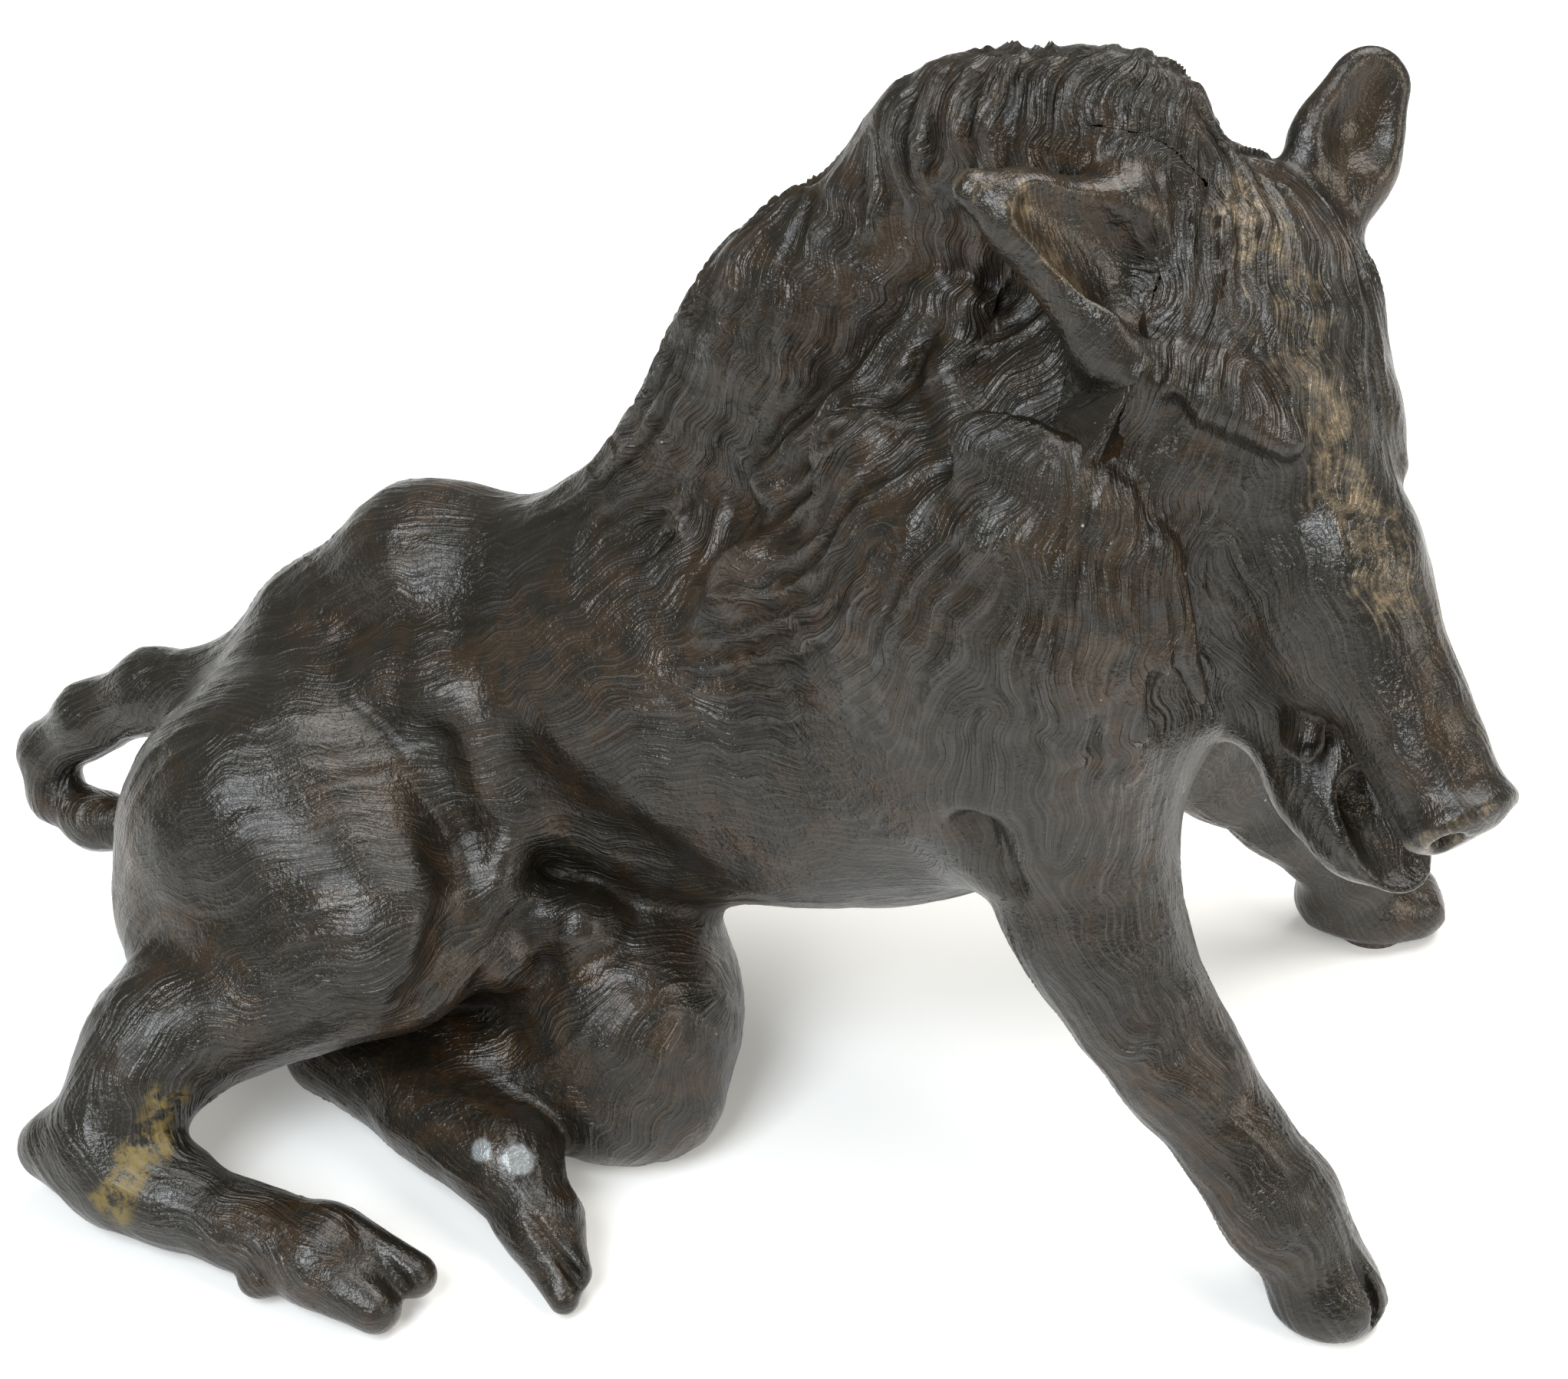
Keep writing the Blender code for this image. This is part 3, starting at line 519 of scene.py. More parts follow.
# ---------------------------------------------------------------- combing: which way the chased hair lies
_m = lambda x, y, z: (x, -y, z)
COMB = [  # (place, direction, reach)
    ((50, -6, 215), (-0.15, -0.35, -0.92), 16), ((30, -4, 203), (-0.25, -0.3, -0.92), 16),
    ((10, -4, 176), (-0.4, -0.25, -0.85), 16), ((-8, -4, 150), (-0.5, -0.2, -0.8), 18),
    ((50, -34, 178), (-0.2, -0.25, -0.95), 18), ((22, -28, 160), (-0.5, -0.2, -0.85), 18),
    ((70, -34, 170), (0.15, -0.3, -0.94), 16), ((38, -48, 135), (-0.2, -0.15, -0.95), 20),
    ((10, -38, 125), (-0.75, -0.15, -0.62), 20), ((-20, -38, 98), (-0.92, -0.1, -0.35), 24),
    ((-50, -34, 88), (-0.95, 0.0, -0.28), 22), ((-78, -24, 90), (-0.92, -0.2, -0.2), 20),
    ((-20, 5, 122), (-0.95, 0.0, -0.3), 20), ((-60, 5, 108), (-1, 0, -0.05), 22), ((-92, 0, 84), (-0.9, 0, -0.45), 22),
    ((-125, 0, 62), (-0.6, 0, -0.8), 20), ((-100, -50, 66), (-0.85, -0.3, -0.35), 22),
    ((-118, -40, 50), (-0.5, -0.35, -0.8), 20), ((-74, -58, 64), (-0.85, -0.35, -0.35), 18),
    ((-80, -62, 45), (-0.85, -0.4, -0.3), 18), ((10, -35, 60), (-0.97, 0.0, -0.15), 24), ((10, 0, 42), (-1, 0, 0), 26),
    ((80, -5, 108), (0.1, -0.1, -1), 24), ((60, -50, 105), (0.15, -0.1, -0.98), 18), ((72, -44, 78), (0.4, -0.2, -0.88), 16),
    ((88, -50, 48), (0.6, -0.25, -0.75), 16), ((110, -60, 24), (0.6, -0.25, -0.75), 16), ((122, -66, 8), (0.4, -0.2, -0.9), 12),
    ((78, 44, 60), (0.6, 0.2, -0.75), 18), ((110, 48, 24), (0.6, 0.2, -0.75), 16),
    ((-112, -78, 28), (-0.2, -0.6, -0.75), 12), ((-125, -88, 14), (0.6, -0.3, -0.5), 12),
    ((-95, -94, 12), (1, -0.15, -0.05), 16), ((-60, -100, 9), (1, -0.15, -0.05), 14),
    ((-45, -40, 25), (-0.9, 0.0, -0.4), 18), ((-20, -56, 28), (-0.3, -0.4, -0.87), 14), ((-18, -50, 12), (-0.4, -0.2, -0.9), 12),
    ((-75, -52, 14), (0.85, -0.5, 0), 14), ((-52, -70, 14), (0.85, -0.5, 0), 12), ((-30, -86, 9), (0.8, -0.55, 0), 12),
    (h(20, 0, 12), NOSE, 16), (h(45, 0, 6), NOSE, 16), (h(75, 0, 2), NOSE, 16), (h(70, -10, -10), NOSE, 14),
    (h(45, -14, -18), NOSE - 0.35 * UP, 16), (h(22, -22, -22), NOSE - 0.9 * UP, 16), (h(0, -26, -30), (0.25, -0.3, -0.92), 18),
    (h(70, 10, -10), NOSE, 14), (h(45, 14, -18), NOSE - 0.35 * UP, 16), (h(10, 22, -20), NOSE - 0.8 * UP, 18),
    (h(60, 0, -48), NOSE, 16), (h(20, 0, -60), NOSE, 18),
    ((40, -19, 206), (0.84, 0.2, -0.52), 10), ((58, -15, 197), (0.84, 0.2, -0.52), 10),
    ((96, 22, 208), (-0.1, -0.2, -0.97), 9), ((90, 17, 196), (-0.1, -0.2, -0.97), 9),
    ((-145, 3, 55), (-0.85, 0, -0.55), 12), ((-163, 0, 32), (0, 0, -1), 9), ((-150, -6, 23), (1, 0, 0.1), 8),
]
COMB += [(_m(*p), _m(*d), r) for p, d, r in COMB[:20] if p[1] < -3]      # the far flank, mirrored
COMB += [((60, 40, 100), (0.1, 0.1, -1), 20), ((40, 44, 130), (-0.3, 0.1, -0.95), 20), ((-90, 30, 30), (-0.6, 0.3, -0.7), 26),
         ((-40, 30, 30), (-0.8, 0.2, -0.5), 26)]


def combed(p, n):
    """Unit hair direction in the tangent plane at p, from the nearest combs."""
    acc = np.zeros((len(p), 3), F)
    for place, d, reach in COMB:
        d = np.array(d, float)
        r2 = ((p - np.array(place, F)) ** 2).sum(1) / (reach * reach)
        acc += (1 / (0.05 + r2 ** 2))[:, None] * (d / np.linalg.norm(d)).astype(F)
    acc -= n * (acc * n).sum(1)[:, None]
    return acc / np.maximum(np.linalg.norm(acc, axis=1), 1e-6)[:, None]


WIDE = 12.15                        # the hair lines repeat their phase every WIDE millimetres


def hair_axes(p, n):
    """Along-hair and across-hair unit directions at p, with the wander of the hand."""
    t = combed(p, n)
    wob = noise(p, 34, 5) * 0.42 + noise(p, 15, 6) * 0.28
    s = np.cross(n, t)
    return t * np.cos(wob)[:, None] + s * np.sin(wob)[:, None], s * np.cos(wob)[:, None] - t * np.sin(wob)[:, None]


def conjugate(apply, diag, rhs, x, rounds):
    """Conjugate gradients with a diagonal preconditioner."""
    r = rhs - apply(x)
    z = r / diag
    p, rz = z.copy(), (np.conj(r) * z).sum().real
    for _ in range(rounds):
        ap = apply(p)
        al = rz / (np.conj(p) * ap).sum().real
        x = x + al * p
        r = r - al * ap
        z = r / diag
        new = (np.conj(r) * z).sum().real
        p, rz = z + new / rz * p, new
    return x


class Comb:
    """The hair as a phase that turns once every WIDE millimetres across it, and a length along it.
    Both are solved on a coarse lattice of points near the skin; the phase is a unit complex number,
    so it closes on itself round a leg or the barrel, and strands fork where they must."""

    def __init__(self, step=2.6, rounds=120):
        lo, hi = np.array((-185, -122, -6.0)), np.array((150, 78, 240.0))
        g, self.lo = lattice(ALL, lo, hi, step)
        self.step, n = step, np.array(g.shape)
        self.n = n
        band = np.abs(g) < 2.4 * step
        self.ids = np.full(n, -1)
        pos = np.argwhere(band)
        self.ids[band] = np.arange(len(pos))
        pts = (self.lo + step * pos).astype(F)
        grad = np.stack(np.gradient(g, step), -1)[band]
        t, s = hair_axes(pts, grad / np.maximum(np.linalg.norm(grad, axis=1), 1e-6)[:, None])
        near_w = np.exp(-(g[band] / (1.4 * step)) ** 2)
        A, B, W, dT, dS = [], [], [], [], []
        for ax in range(3):
            q = pos.copy()
            q[:, ax] += 1
            ok = q[:, ax] < n[ax]
            j = np.full(len(pos), -1)
            j[ok] = self.ids[tuple(q[ok].T)]
            a, b = np.nonzero(j >= 0)[0], j[j >= 0]
            A.append(a), B.append(b), W.append(np.sqrt(near_w[a] * near_w[b]) + 1e-3)
            dT.append(step * (t[a, ax] + t[b, ax]) / 2), dS.append(step * (s[a, ax] + s[b, ax]) / 2)
        A, B, W = np.concatenate(A), np.concatenate(B), np.concatenate(W).astype(float)
        dT, dS = np.concatenate(dT), np.concatenate(dS)
        size = len(pos)
        diag = np.bincount(A, weights=W, minlength=size) + np.bincount(B, weights=W, minlength=size) + 1e-6
        gather = lambda v: np.bincount(B, weights=v, minlength=size) - np.bincount(A, weights=v, minlength=size)
        self.length = conjugate(lambda x: gather(W * (x[B] - x[A])) + 1e-6 * x, diag, gather(W * dT), np.zeros(size), 2 * rounds)
        turn = np.exp(2j * np.pi * dS / WIDE)

        def spread(i, v):
            return np.bincount(i, weights=v.real, minlength=size) + 1j * np.bincount(i, weights=v.imag, minlength=size)
        x = np.exp(2j * np.pi * hashed(np.arange(size), np.zeros(size, int), np.zeros(size, int), 7))
        for eps in (0.30, 0.10, 0.04, 0.02, 0.02, 0.02, 0.04):
            def apply(v, eps=eps):
                e = W * (v[B] - turn * v[A])
                return spread(B, e) - spread(A, np.conj(turn) * e) + eps * diag * v
            x = conjugate(apply, diag * (1 + eps), eps * diag * x / np.maximum(np.abs(x), 1e-9), x, rounds // 3)
        self.phase = x / np.maximum(np.abs(x), 1e-9)

    def sample(self, p, n):
        """cosine and sine of the phase, and the length along the hair, at skin points p with normals n."""
        t, s = hair_axes(p, n)
        q = (p - self.lo) / self.step
        i = np.clip(np.floor(q).astype(int), 0, self.n - 2)
        f = (q - i).astype(F)
        z, ln, tot = 0, 0, 1e-6
        for dx in (0, 1):
            for dy in (0, 1):
                for dz in (0, 1):
                    w = (f[:, 0] if dx else 1 - f[:, 0]) * (f[:, 1] if dy else 1 - f[:, 1]) * (f[:, 2] if dz else 1 - f[:, 2])
                    k = i + (dx, dy, dz)
                    node = self.ids[tuple(k.T)]
                    w = w * (node >= 0)
                    gap = p - (self.lo + self.step * k)
                    z = z + w * self.phase[node] * np.exp(2j * np.pi * (gap * s).sum(1) / WIDE)
                    ln = ln + w * (self.length[node] + (gap * t).sum(1))
                    tot = tot + w
        z = z / np.maximum(np.abs(z), 1e-6) * np.clip((np.abs(z) / tot - 0.5) / 0.4, 0.02, 1)     # shorter where the combing parts
        return np.stack([z.real, z.imag, ln / tot], 1).astype(F)


# ---------------------------------------------------------------- relief that the mesh carries
def masks(p):
    """Soft masks of the animal's regions at points p."""
    q = (p - POLL) @ HEAD                                     # head coordinates: nose, left, up
    m = {}
    face_m = step_up(q[:, 0], 2, 26) * step_up(-q[:, 2], -40, -20) * (np.abs(q[:, 1]) < 34) * step_up(q[:, 0] + 0.45 * q[:, 2], -22, -6)
    m["face"] = face_m
    m["muzzle"] = step_up(q[:, 0], 40, 62) * (np.abs(q[:, 1]) < 30) * (q[:, 2] > -60)
    m["disc"] = step_up(q[:, 0], 90, 94) * (np.abs(q[:, 1]) < 18) * (q[:, 2] > -25)
    ridge = np.array([(-36, 110), (-14, 135), (8, 168), (30, 205), (60, 212), (84, 200)], F)
    d, _ = along(np.stack([p[:, 0], np.zeros(len(p), F), p[:, 2]], 1), np.stack([ridge[:, 0], 0 * ridge[:, 0], ridge[:, 1]], 1), 1.0)
    m["mane"] = (1 - step_up(d, 16, 40)) * step_up(p[:, 2], 112, 140) * (1 - face_m)
    m["ruff"] = near(p, (62, -42, 148), (30, 26, 36)) * (1 - 0.8 * face_m)
    m["ruff"] = np.maximum(m["ruff"], near(p, (62, 42, 140), (30, 26, 36)) * (1 - face_m))
    m["shoulder"] = near(p, (20, -36, 130), (42, 40, 46))
    m["ear"] = 1 - step_up(at(EARS, p), 1.0, 3.5)
    for key in ("mane", "ruff", "shoulder"):
        m[key] = m[key] * (1 - m["ear"]) if key in m else m.get(key, 0)
    foot = np.zeros(len(p), F)
    for c, r in (((121, -65, 7), 15), ((124, 50, 7), 17), ((-54, -101, 8), 18), ((-26, -90, 7), 15)):
        foot = np.maximum(foot, near(p, c, r))
    m["foot"] = foot
    m["low"] = 1 - step_up(p[:, 2], 18, 40)
    m["smooth"] = np.maximum(near(p, (28, -50, 112), (22, 16, 24)), near(p, (10, -40, 80), (34, 20, 20)))
    m["smooth"] = np.maximum(m["smooth"], np.maximum(m["disc"], foot))
    m["smooth"] = np.maximum(m["smooth"], 0.8 * m["ear"])
    return m


def relief(p, c, m):
    """Height over the plan's skin in millimetres; c = combing, m = masks."""
    th, b = np.arctan2(c[:, 1], c[:, 0]), c[:, 2]
    quiet = 1 - 0.75 * m["smooth"]
    out = noise(p, 17, 11) * 0.55 * quiet + noise(p, 8.5, 12) * 0.30 * quiet + noise(p, 4.2, 13) * 0.10
    warp = noise(p, 18, 14) * 1.5 + noise(p, 7, 17) * 0.5
    vary = noise(np.stack([c[:, 0] * 1.3, c[:, 1] * 1.3, b / 22.0], 1), 1.0, 15)
    fold = lambda x: (0.66 - np.sqrt(np.sin(x) ** 2 + 0.10)) * np.hypot(c[:, 0], c[:, 1])
    lock = fold(th + warp + vary * 0.8) * np.clip(0.8 + 0.9 * noise(p, 13, 18) + 0.5 * vary, 0, 1.6)   # clumps 6 mm apart
    lock2 = fold(2 * th + warp * 1.6 + 2 * vary) * np.clip(0.7 + 1.0 * noise(p, 7, 19), 0, 1.5)       # strands 3 mm apart
    mane = np.clip(m["mane"] * 1.25, 0, 1)
    ruff = m["ruff"] * (1 - 0.5 * mane)
    sh = m["shoulder"] * (1 - mane) * (1 - m["smooth"])
    body = (1 - mane) * (1 - ruff) * (1 - sh) * (1 - m["smooth"]) * (1 - m["face"])
    out += mane * (1.7 * lock + 0.3 * lock2) + ruff * (1.2 * lock + 0.45 * lock2) + sh * (0.9 * lock + 0.35 * lock2)
    out += body * (0.32 * lock + 0.20 * lock2)
    out += m["face"] * (1 - m["muzzle"]) * (0.40 * lock2 + 0.2 * lock) + m["muzzle"] * (1 - m["disc"]) * 0.2 * lock2
    return out


# ---------------------------------------------------------------- where the patina differs
def fur_strength(p, m):
    w = 0.55 + 0.45 * np.maximum(m["mane"], np.maximum(m["ruff"], m["shoulder"]))
    w = w * (1 - 0.85 * m["smooth"]) * (1 - 0.45 * m["muzzle"])
    w = w * (1 - 0.35 * (1 - step_up(p[:, 2], 8, 30)))
    return np.clip(w * (0.75 + 0.5 * noise(p, 20, 21)), 0, 1)


def rubbed(p, m):
    q = (p - POLL) @ HEAD
    w = np.zeros(len(p), F)
    d, _ = along(q, [(-12, -4, 17), (6, -5, 15), (30, -5, 9), (54, -3, 5)], 1.0)
    w = np.maximum(w, (1 - step_up(d, 2.0, 15.0)) * 0.85)                                  # brow and bridge of the nose
    w = np.maximum(w, 0.72 * m["disc"])
    d, _ = along(p, [(36, -24, 215), (45, -25, 212), (57, -27, 199)], 1.0)
    w = np.maximum(w, 0.8 * (1 - step_up(d, 2.0, 7.0)))                                     # tip and rim of the near ear
    w = np.maximum(w, 0.45 * near(p, (-17, -52, 42), (14, 12, 14)))                         # stifle
    w = np.maximum(w, 0.35 * near(p, (-52, -34, 72), (8, 8, 16)))
    w = np.maximum(w, 0.4 * near(p, (119, -68, 16), (9, 9, 9)))
    return w


def chalk_stops_and_painted_sheen(p):
    """Two pale stops on the left cannon, and a painted sheen on the right flank: faint pale grey speckles."""
    w = np.zeros(len(p), F)
    for c, r in (((-43.8, -76.3, 23.9), 2.3), ((-36.3, -76.3, 22.6), 3.0)):
        d = np.sqrt(((p - np.array(c)) ** 2).sum(1)) + noise(p, 3, 43) * 0.5
        w = np.maximum(w, 1 - step_up(d, r * 0.85, r * 1.15))
    # painted sheen: faint pale grey speckles on the flank near the shoulder
    patch = near(p, (29, -52, 126), (15, 12, 17)) * step_up(noise(p, 1.8, 44) + 0.4 * noise(p, 9, 45), 0.05, 0.5)
    return np.maximum(w, 0.10 * patch)


def browned(p, m):
    return np.clip(0.45 + 0.55 * noise(p, 26, 31) + 0.35 * noise(p, 9, 32), 0, 1)


def mended(p):
    d, _ = along(p, [(-104, -84, 30), (-108, -92, 20), (-111, -97, 15)], 1.0)
    return 1 - step_up(d + noise(p, 4, 41) * 2.0, 2.5, 6.0)


# ---------------------------------------------------------------- materials
class Wires:
    """Shorthand for a material's node tree."""

    def __init__(self, name):
        self.mat = bpy.data.materials.new(name)
        self.mat.use_nodes = True
        self.t = self.mat.node_tree
        self.t.nodes.clear()

    def node(self, kind, **set_):
        n = self.t.nodes.new(kind)
        for k, v in set_.items():
            setattr(n, k, v)
        return n

    def link(self, a, b):
        self.t.links.new(a, b)

    def feed(self, socket, v):
        if isinstance(v, bpy.types.NodeSocket):
            self.link(v, socket)
        else:
            socket.default_value = v

    def math(self, op, a, b=0.0, c=0.0, clamp=False):
        n = self.node('ShaderNodeMath', operation=op, use_clamp=clamp)
        for s, v in zip(n.inputs, (a, b, c)):
            self.feed(s, v)
        return n.outputs[0]

    def ramp(self, v, a, b, lo=0.0, hi=1.0):
        n = self.node('ShaderNodeMapRange', interpolation_type='SMOOTHSTEP')
        for s, x in zip(n.inputs, (v, a, b, lo, hi)):
            self.feed(s, x)
        return n.outputs[0]

    def mix(self, f, a, b, mode='MIX'):
        n = self.node('ShaderNodeMix', data_type='RGBA', blend_type=mode)
        self.feed(n.inputs[0], f)
        self.feed(n.inputs[6], a)
        self.feed(n.inputs[7], b)
        return n.outputs[2]

    def noise(self, vec, scale, detail=2.0, rough=0.5, dist=0.0):
        n = self.node('ShaderNodeTexNoise')
        self.feed(n.inputs['Vector'], vec)
        for k, v in (('Scale', scale), ('Detail', detail), ('Roughness', rough), ('Distortion', dist)):
            n.inputs[k].default_value = v
        return n.outputs[0]

    def attr(self, name):
        return self.node('ShaderNodeAttribute', attribute_name=name)


def patina(name, plain=False):
    w = Wires(name)
    pos = w.node('ShaderNodeTexCoord').outputs['Object']
    out = w.node('ShaderNodeOutputMaterial')
    bsdf = w.node('ShaderNodeBsdfPrincipled')
    w.link(bsdf.outputs[0], out.inputs[0])
    if plain:
        fur = rub = mend = 0.0
        warm = 0.5
        cav = 0.0
        height = w.math('MULTIPLY', w.noise(pos, 900, 3, 0.6), 0.12)
        ridge = 0.5
    else:
        comb_v = w.attr("comb").outputs['Vector']
        fur, rub, warm, mend, cav = (w.attr(k).outputs['Fac'] for k in ("fur", "rub", "warm", "mend", "cav"))
        fur = w.math('MULTIPLY', fur, w.ramp(w.noise(pos, 62, 3.0, 0.6), 0.36, 0.56, 0.35, 1.0))     # the tracer was held lighter in places
        sep = w.node('ShaderNodeSeparateXYZ')
        w.link(comb_v, sep.inputs[0])
        th, b = w.math('ARCTAN2', sep.outputs[1], sep.outputs[0]), sep.outputs[2]
        wander = w.math('MULTIPLY', w.math('SUBTRACT', w.noise(pos, 48, 1.0, 0.5), 0.5), 9.0)
        wave = w.math('MULTIPLY', w.math('SINE', w.math('ADD', w.math('MULTIPLY', b, 470.0), wander)), 0.42)
        bend = w.math('MULTIPLY', w.math('SUBTRACT', w.noise(pos, 110, 1.5, 0.5), 0.5), 1.5)
        th = w.math('ADD', th, w.math('ADD', wave, bend))
        cell = w.node('ShaderNodeCombineXYZ')
        w.feed(cell.inputs[0], w.math('COSINE', th))
        w.feed(cell.inputs[1], w.math('SINE', th))
        w.feed(cell.inputs[2], w.math('MULTIPLY', b, 60.0))
        mixed = w.node('ShaderNodeVectorMath', operation='MULTIPLY_ADD')
        w.link(cell.outputs[0], mixed.inputs[0])
        mixed.inputs[1].default_value = (3.2, 3.2, 1.0)
        mul = w.node('ShaderNodeVectorMath', operation='SCALE')
        w.link(pos, mul.inputs[0])
        mul.inputs[3].default_value = 70.0
        w.link(mul.outputs[0], mixed.inputs[2])
        patch = w.noise(mixed.outputs[0], 1.0, 1.0, 0.5)                      # strokes start and stop
        wave1 = w.math('SUBTRACT', 1.15, w.math('ABSOLUTE', w.math('SINE', w.math('MULTIPLY', th, 4.5))))
        wave2 = w.math('ABSOLUTE', w.math('SINE', w.math('ADD', w.math('MULTIPLY', th, 7.5), w.math('MULTIPLY', patch, 6.0))))
        stroke = w.math('MULTIPLY', wave1, w.ramp(patch, 0.40, 0.60))
        ridge = w.math('ADD', w.math('MULTIPLY', stroke, 0.75), w.math('MULTIPLY', wave2, 0.30))
        strand = w.math('ABSOLUTE', w.math('SINE', w.math('ADD', w.math('MULTIPLY', th, 2.5), w.math('MULTIPLY', w.noise(pos, 90, 2.0), 7.0))))
        ridge = w.math('ADD', ridge, w.math('MULTIPLY', w.math('MULTIPLY', strand, fur), 0.35))
        height = w.math('MULTIPLY', w.math('MULTIPLY', ridge, fur), 0.50)
        grit = w.math('MULTIPLY', w.noise(pos, 1300, 2.5, 0.65), 0.10)
        lump = w.math('MULTIPLY', w.noise(pos, 300, 3.0, 0.6), 0.34)
        creases = w.math('MULTIPLY', w.math('ABSOLUTE', w.math('SUBTRACT', w.noise(pos, 480, 3.0, 0.6), 0.5)), 0.45)
        height = w.math('ADD', w.math('ADD', height, grit), w.math('ADD', lump, creases))
    pits = w.node('ShaderNodeTexVoronoi', feature='F1')
    w.feed(pits.inputs['Vector'], pos)
    pits.inputs['Scale'].default_value = 420.0
    pit = w.math('MULTIPLY', w.ramp(pits.outputs['Distance'], 0.10, 0.16, 1.0, 0.0),
                 w.ramp(w.noise(pos, 60, 1.0), 0.60, 0.68))
    height = w.math('SUBTRACT', height, w.math('MULTIPLY', pit, 0.25))
    bump = w.node('ShaderNodeBump')
    bump.inputs['Strength'].default_value = 1.0
    bump.inputs['Distance'].default_value = 0.001
    w.feed(bump.inputs['Height'], height)
    w.link(bump.outputs[0], bsdf.inputs['Normal'])

    cloud = w.noise(pos, 42, 4.0, 0.6)
    blotch = w.noise(pos, 160, 3.0, 0.65, 0.4)
    brown = w.math('MULTIPLY', w.ramp(w.math('ADD', cloud, w.math('MULTIPLY', warm, 0.35)), 0.50, 0.90), w.ramp(blotch, 0.35, 0.65))
    dark = (0.0125, 0.0105, 0.0072, 1)
    col = w.mix(brown, dark, (0.036, 0.021, 0.0095, 1))
    # painted shade: the colour in the hollows (cav below zero) is darkened toward near black
    low = w.ramp(cav, -0.10, -0.75)
    col = w.mix(w.math('MULTIPLY', low, 0.9), col, (0.0075, 0.0050, 0.0032, 1))
    worn = w.math('MULTIPLY', w.ramp(cav, 0.25, 0.8), 0.35)
    col = w.mix(worn, col, (0.052, 0.042, 0.032, 1))
    if not plain:
        # painted highlight: the crests of the chased lines are lightened to a pale grey sheen
        crest = w.math('MULTIPLY', w.ramp(ridge, 0.70, 1.15), w.math('MULTIPLY', fur, w.ramp(cav, -0.30, 0.40)))
        col = w.mix(w.math('MULTIPLY', crest, 0.65), col, (0.088, 0.082, 0.070, 1))
    chafe = w.math('ADD', w.math('MULTIPLY', rub, 0.9), w.math('MULTIPLY', w.math('SUBTRACT', w.noise(pos, 240, 5.0, 0.7), 0.5), 2.2))
    if not plain:
        chafe = w.math('ADD', chafe, w.math('MULTIPLY', w.math('SUBTRACT', ridge, 0.55), 0.30))
    gold = w.math('MULTIPLY', w.ramp(chafe, 0.50, 1.35), w.ramp(rub, 0.05, 0.55))
    col = w.mix(gold, col, (0.215, 0.165, 0.105, 1))
    crust = w.math('MULTIPLY', mend, w.ramp(w.noise(pos, 300, 3.0, 0.7), 0.40, 0.60))
    col = w.mix(crust, col, (0.145, 0.105, 0.028, 1))
    if not plain:
        # pale stops on the left cannon, and the painted sheen speckles on the flank
        col = w.mix(w.attr("pale").outputs['Fac'], col, (0.20, 0.215, 0.22, 1))
    # stray specks of plaster and red paint
    spots = w.node('ShaderNodeTexVoronoi', feature='F1')
    w.feed(spots.inputs['Vector'], pos)
    spots.inputs['Scale'].default_value = 170.0
    hit = w.ramp(spots.outputs['Distance'], 0.035, 0.055, 1.0, 0.0)
    tint = w.node('ShaderNodeSeparateColor')
    w.link(spots.outputs['Color'], tint.inputs[0])
    few = w.math('MULTIPLY', hit, w.math('GREATER_THAN', tint.outputs[0], 0.965))
    red = w.math('MULTIPLY', hit, w.math('LESS_THAN', tint.outputs[0], 0.010))
    col = w.mix(w.math('MULTIPLY', few, 0.8), col, (0.42, 0.38, 0.30, 1))
    col = w.mix(w.math('MULTIPLY', red, 0.8), col, (0.22, 0.025, 0.012, 1))
    w.feed(bsdf.inputs['Base Color'], col)
    w.feed(bsdf.inputs['Metallic'], w.math('ADD', w.math('MULTIPLY', gold, 0.5), 0.22, clamp=True))
    rough = w.ramp(w.noise(pos, 120, 3.0, 0.6), 0.3, 0.7, 0.21, 0.36)
    rough = w.math('ADD', rough, w.math('MULTIPLY', crust, 0.35), clamp=True)
    rough = w.math('ADD', rough, w.math('MULTIPLY', low, 0.18), clamp=True)
    w.feed(bsdf.inputs['Roughness'], rough)
    if plain:
        bsdf.inputs['Specular IOR Level'].default_value = 0.5
    else:
        shade = w.math('MULTIPLY', w.ramp(cav, -0.45, 0.15, 0.35, 1.0), w.ramp(ridge, 0.15, 0.75, 0.72, 1.0))
        w.feed(bsdf.inputs['Specular IOR Level'], w.math('MULTIPLY', shade, 0.66))
        w.feed(bsdf.inputs['Coat Weight'], w.math('MULTIPLY', shade, 0.17))
    bsdf.inputs['Coat Roughness'].default_value = 0.2
    return w.mat


def felt_material():
    w = Wires("felt_cloth")
    pos = w.node('ShaderNodeTexCoord').outputs['Object']
    out = w.node('ShaderNodeOutputMaterial')
    bsdf = w.node('ShaderNodeBsdfPrincipled')
    w.link(bsdf.outputs[0], out.inputs[0])
    n = w.noise(pos, 900, 4.0, 0.7, 1.5)
    col = w.mix(w.ramp(n, 0.3, 0.7), (0.016, 0.007, 0.005, 1), (0.050, 0.020, 0.014, 1))
    w.feed(bsdf.inputs['Base Color'], col)
    bsdf.inputs['Roughness'].default_value = 0.95
    bsdf.inputs['Sheen Weight'].default_value = 0.5
    bump = w.node('ShaderNodeBump')
    bump.inputs['Distance'].default_value = 0.0006
    w.feed(bump.inputs['Height'], n)
    w.link(bump.outputs[0], bsdf.inputs['Normal'])
    return w.mat


bronze = patina("patinated_bronze")
bare = patina("inner_bronze", plain=True)
felt = felt_material()


# ---------------------------------------------------------------- meshes
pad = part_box("right_fore_felt_pad")
SHIFT = np.array([(pad[0][0] + pad[1][0]) * 500 - 119.5, (pad[0][1] + pad[1][1]) * 500 + 63.5, -FLOOR])
comb = Comb(2.6, 150)


def to_scene(p):
    return (np.asarray(p) + SHIFT) * 0.001


CUTS = {  # the joints that each casting ends at
    0: ["seam", "right_hind_leg", "left_hind_foot", "tail"], 1: ["seam", "neck", "right_foreleg", "left_foreleg"],
    2: ["neck", "right_ear", "left_ear"],
}


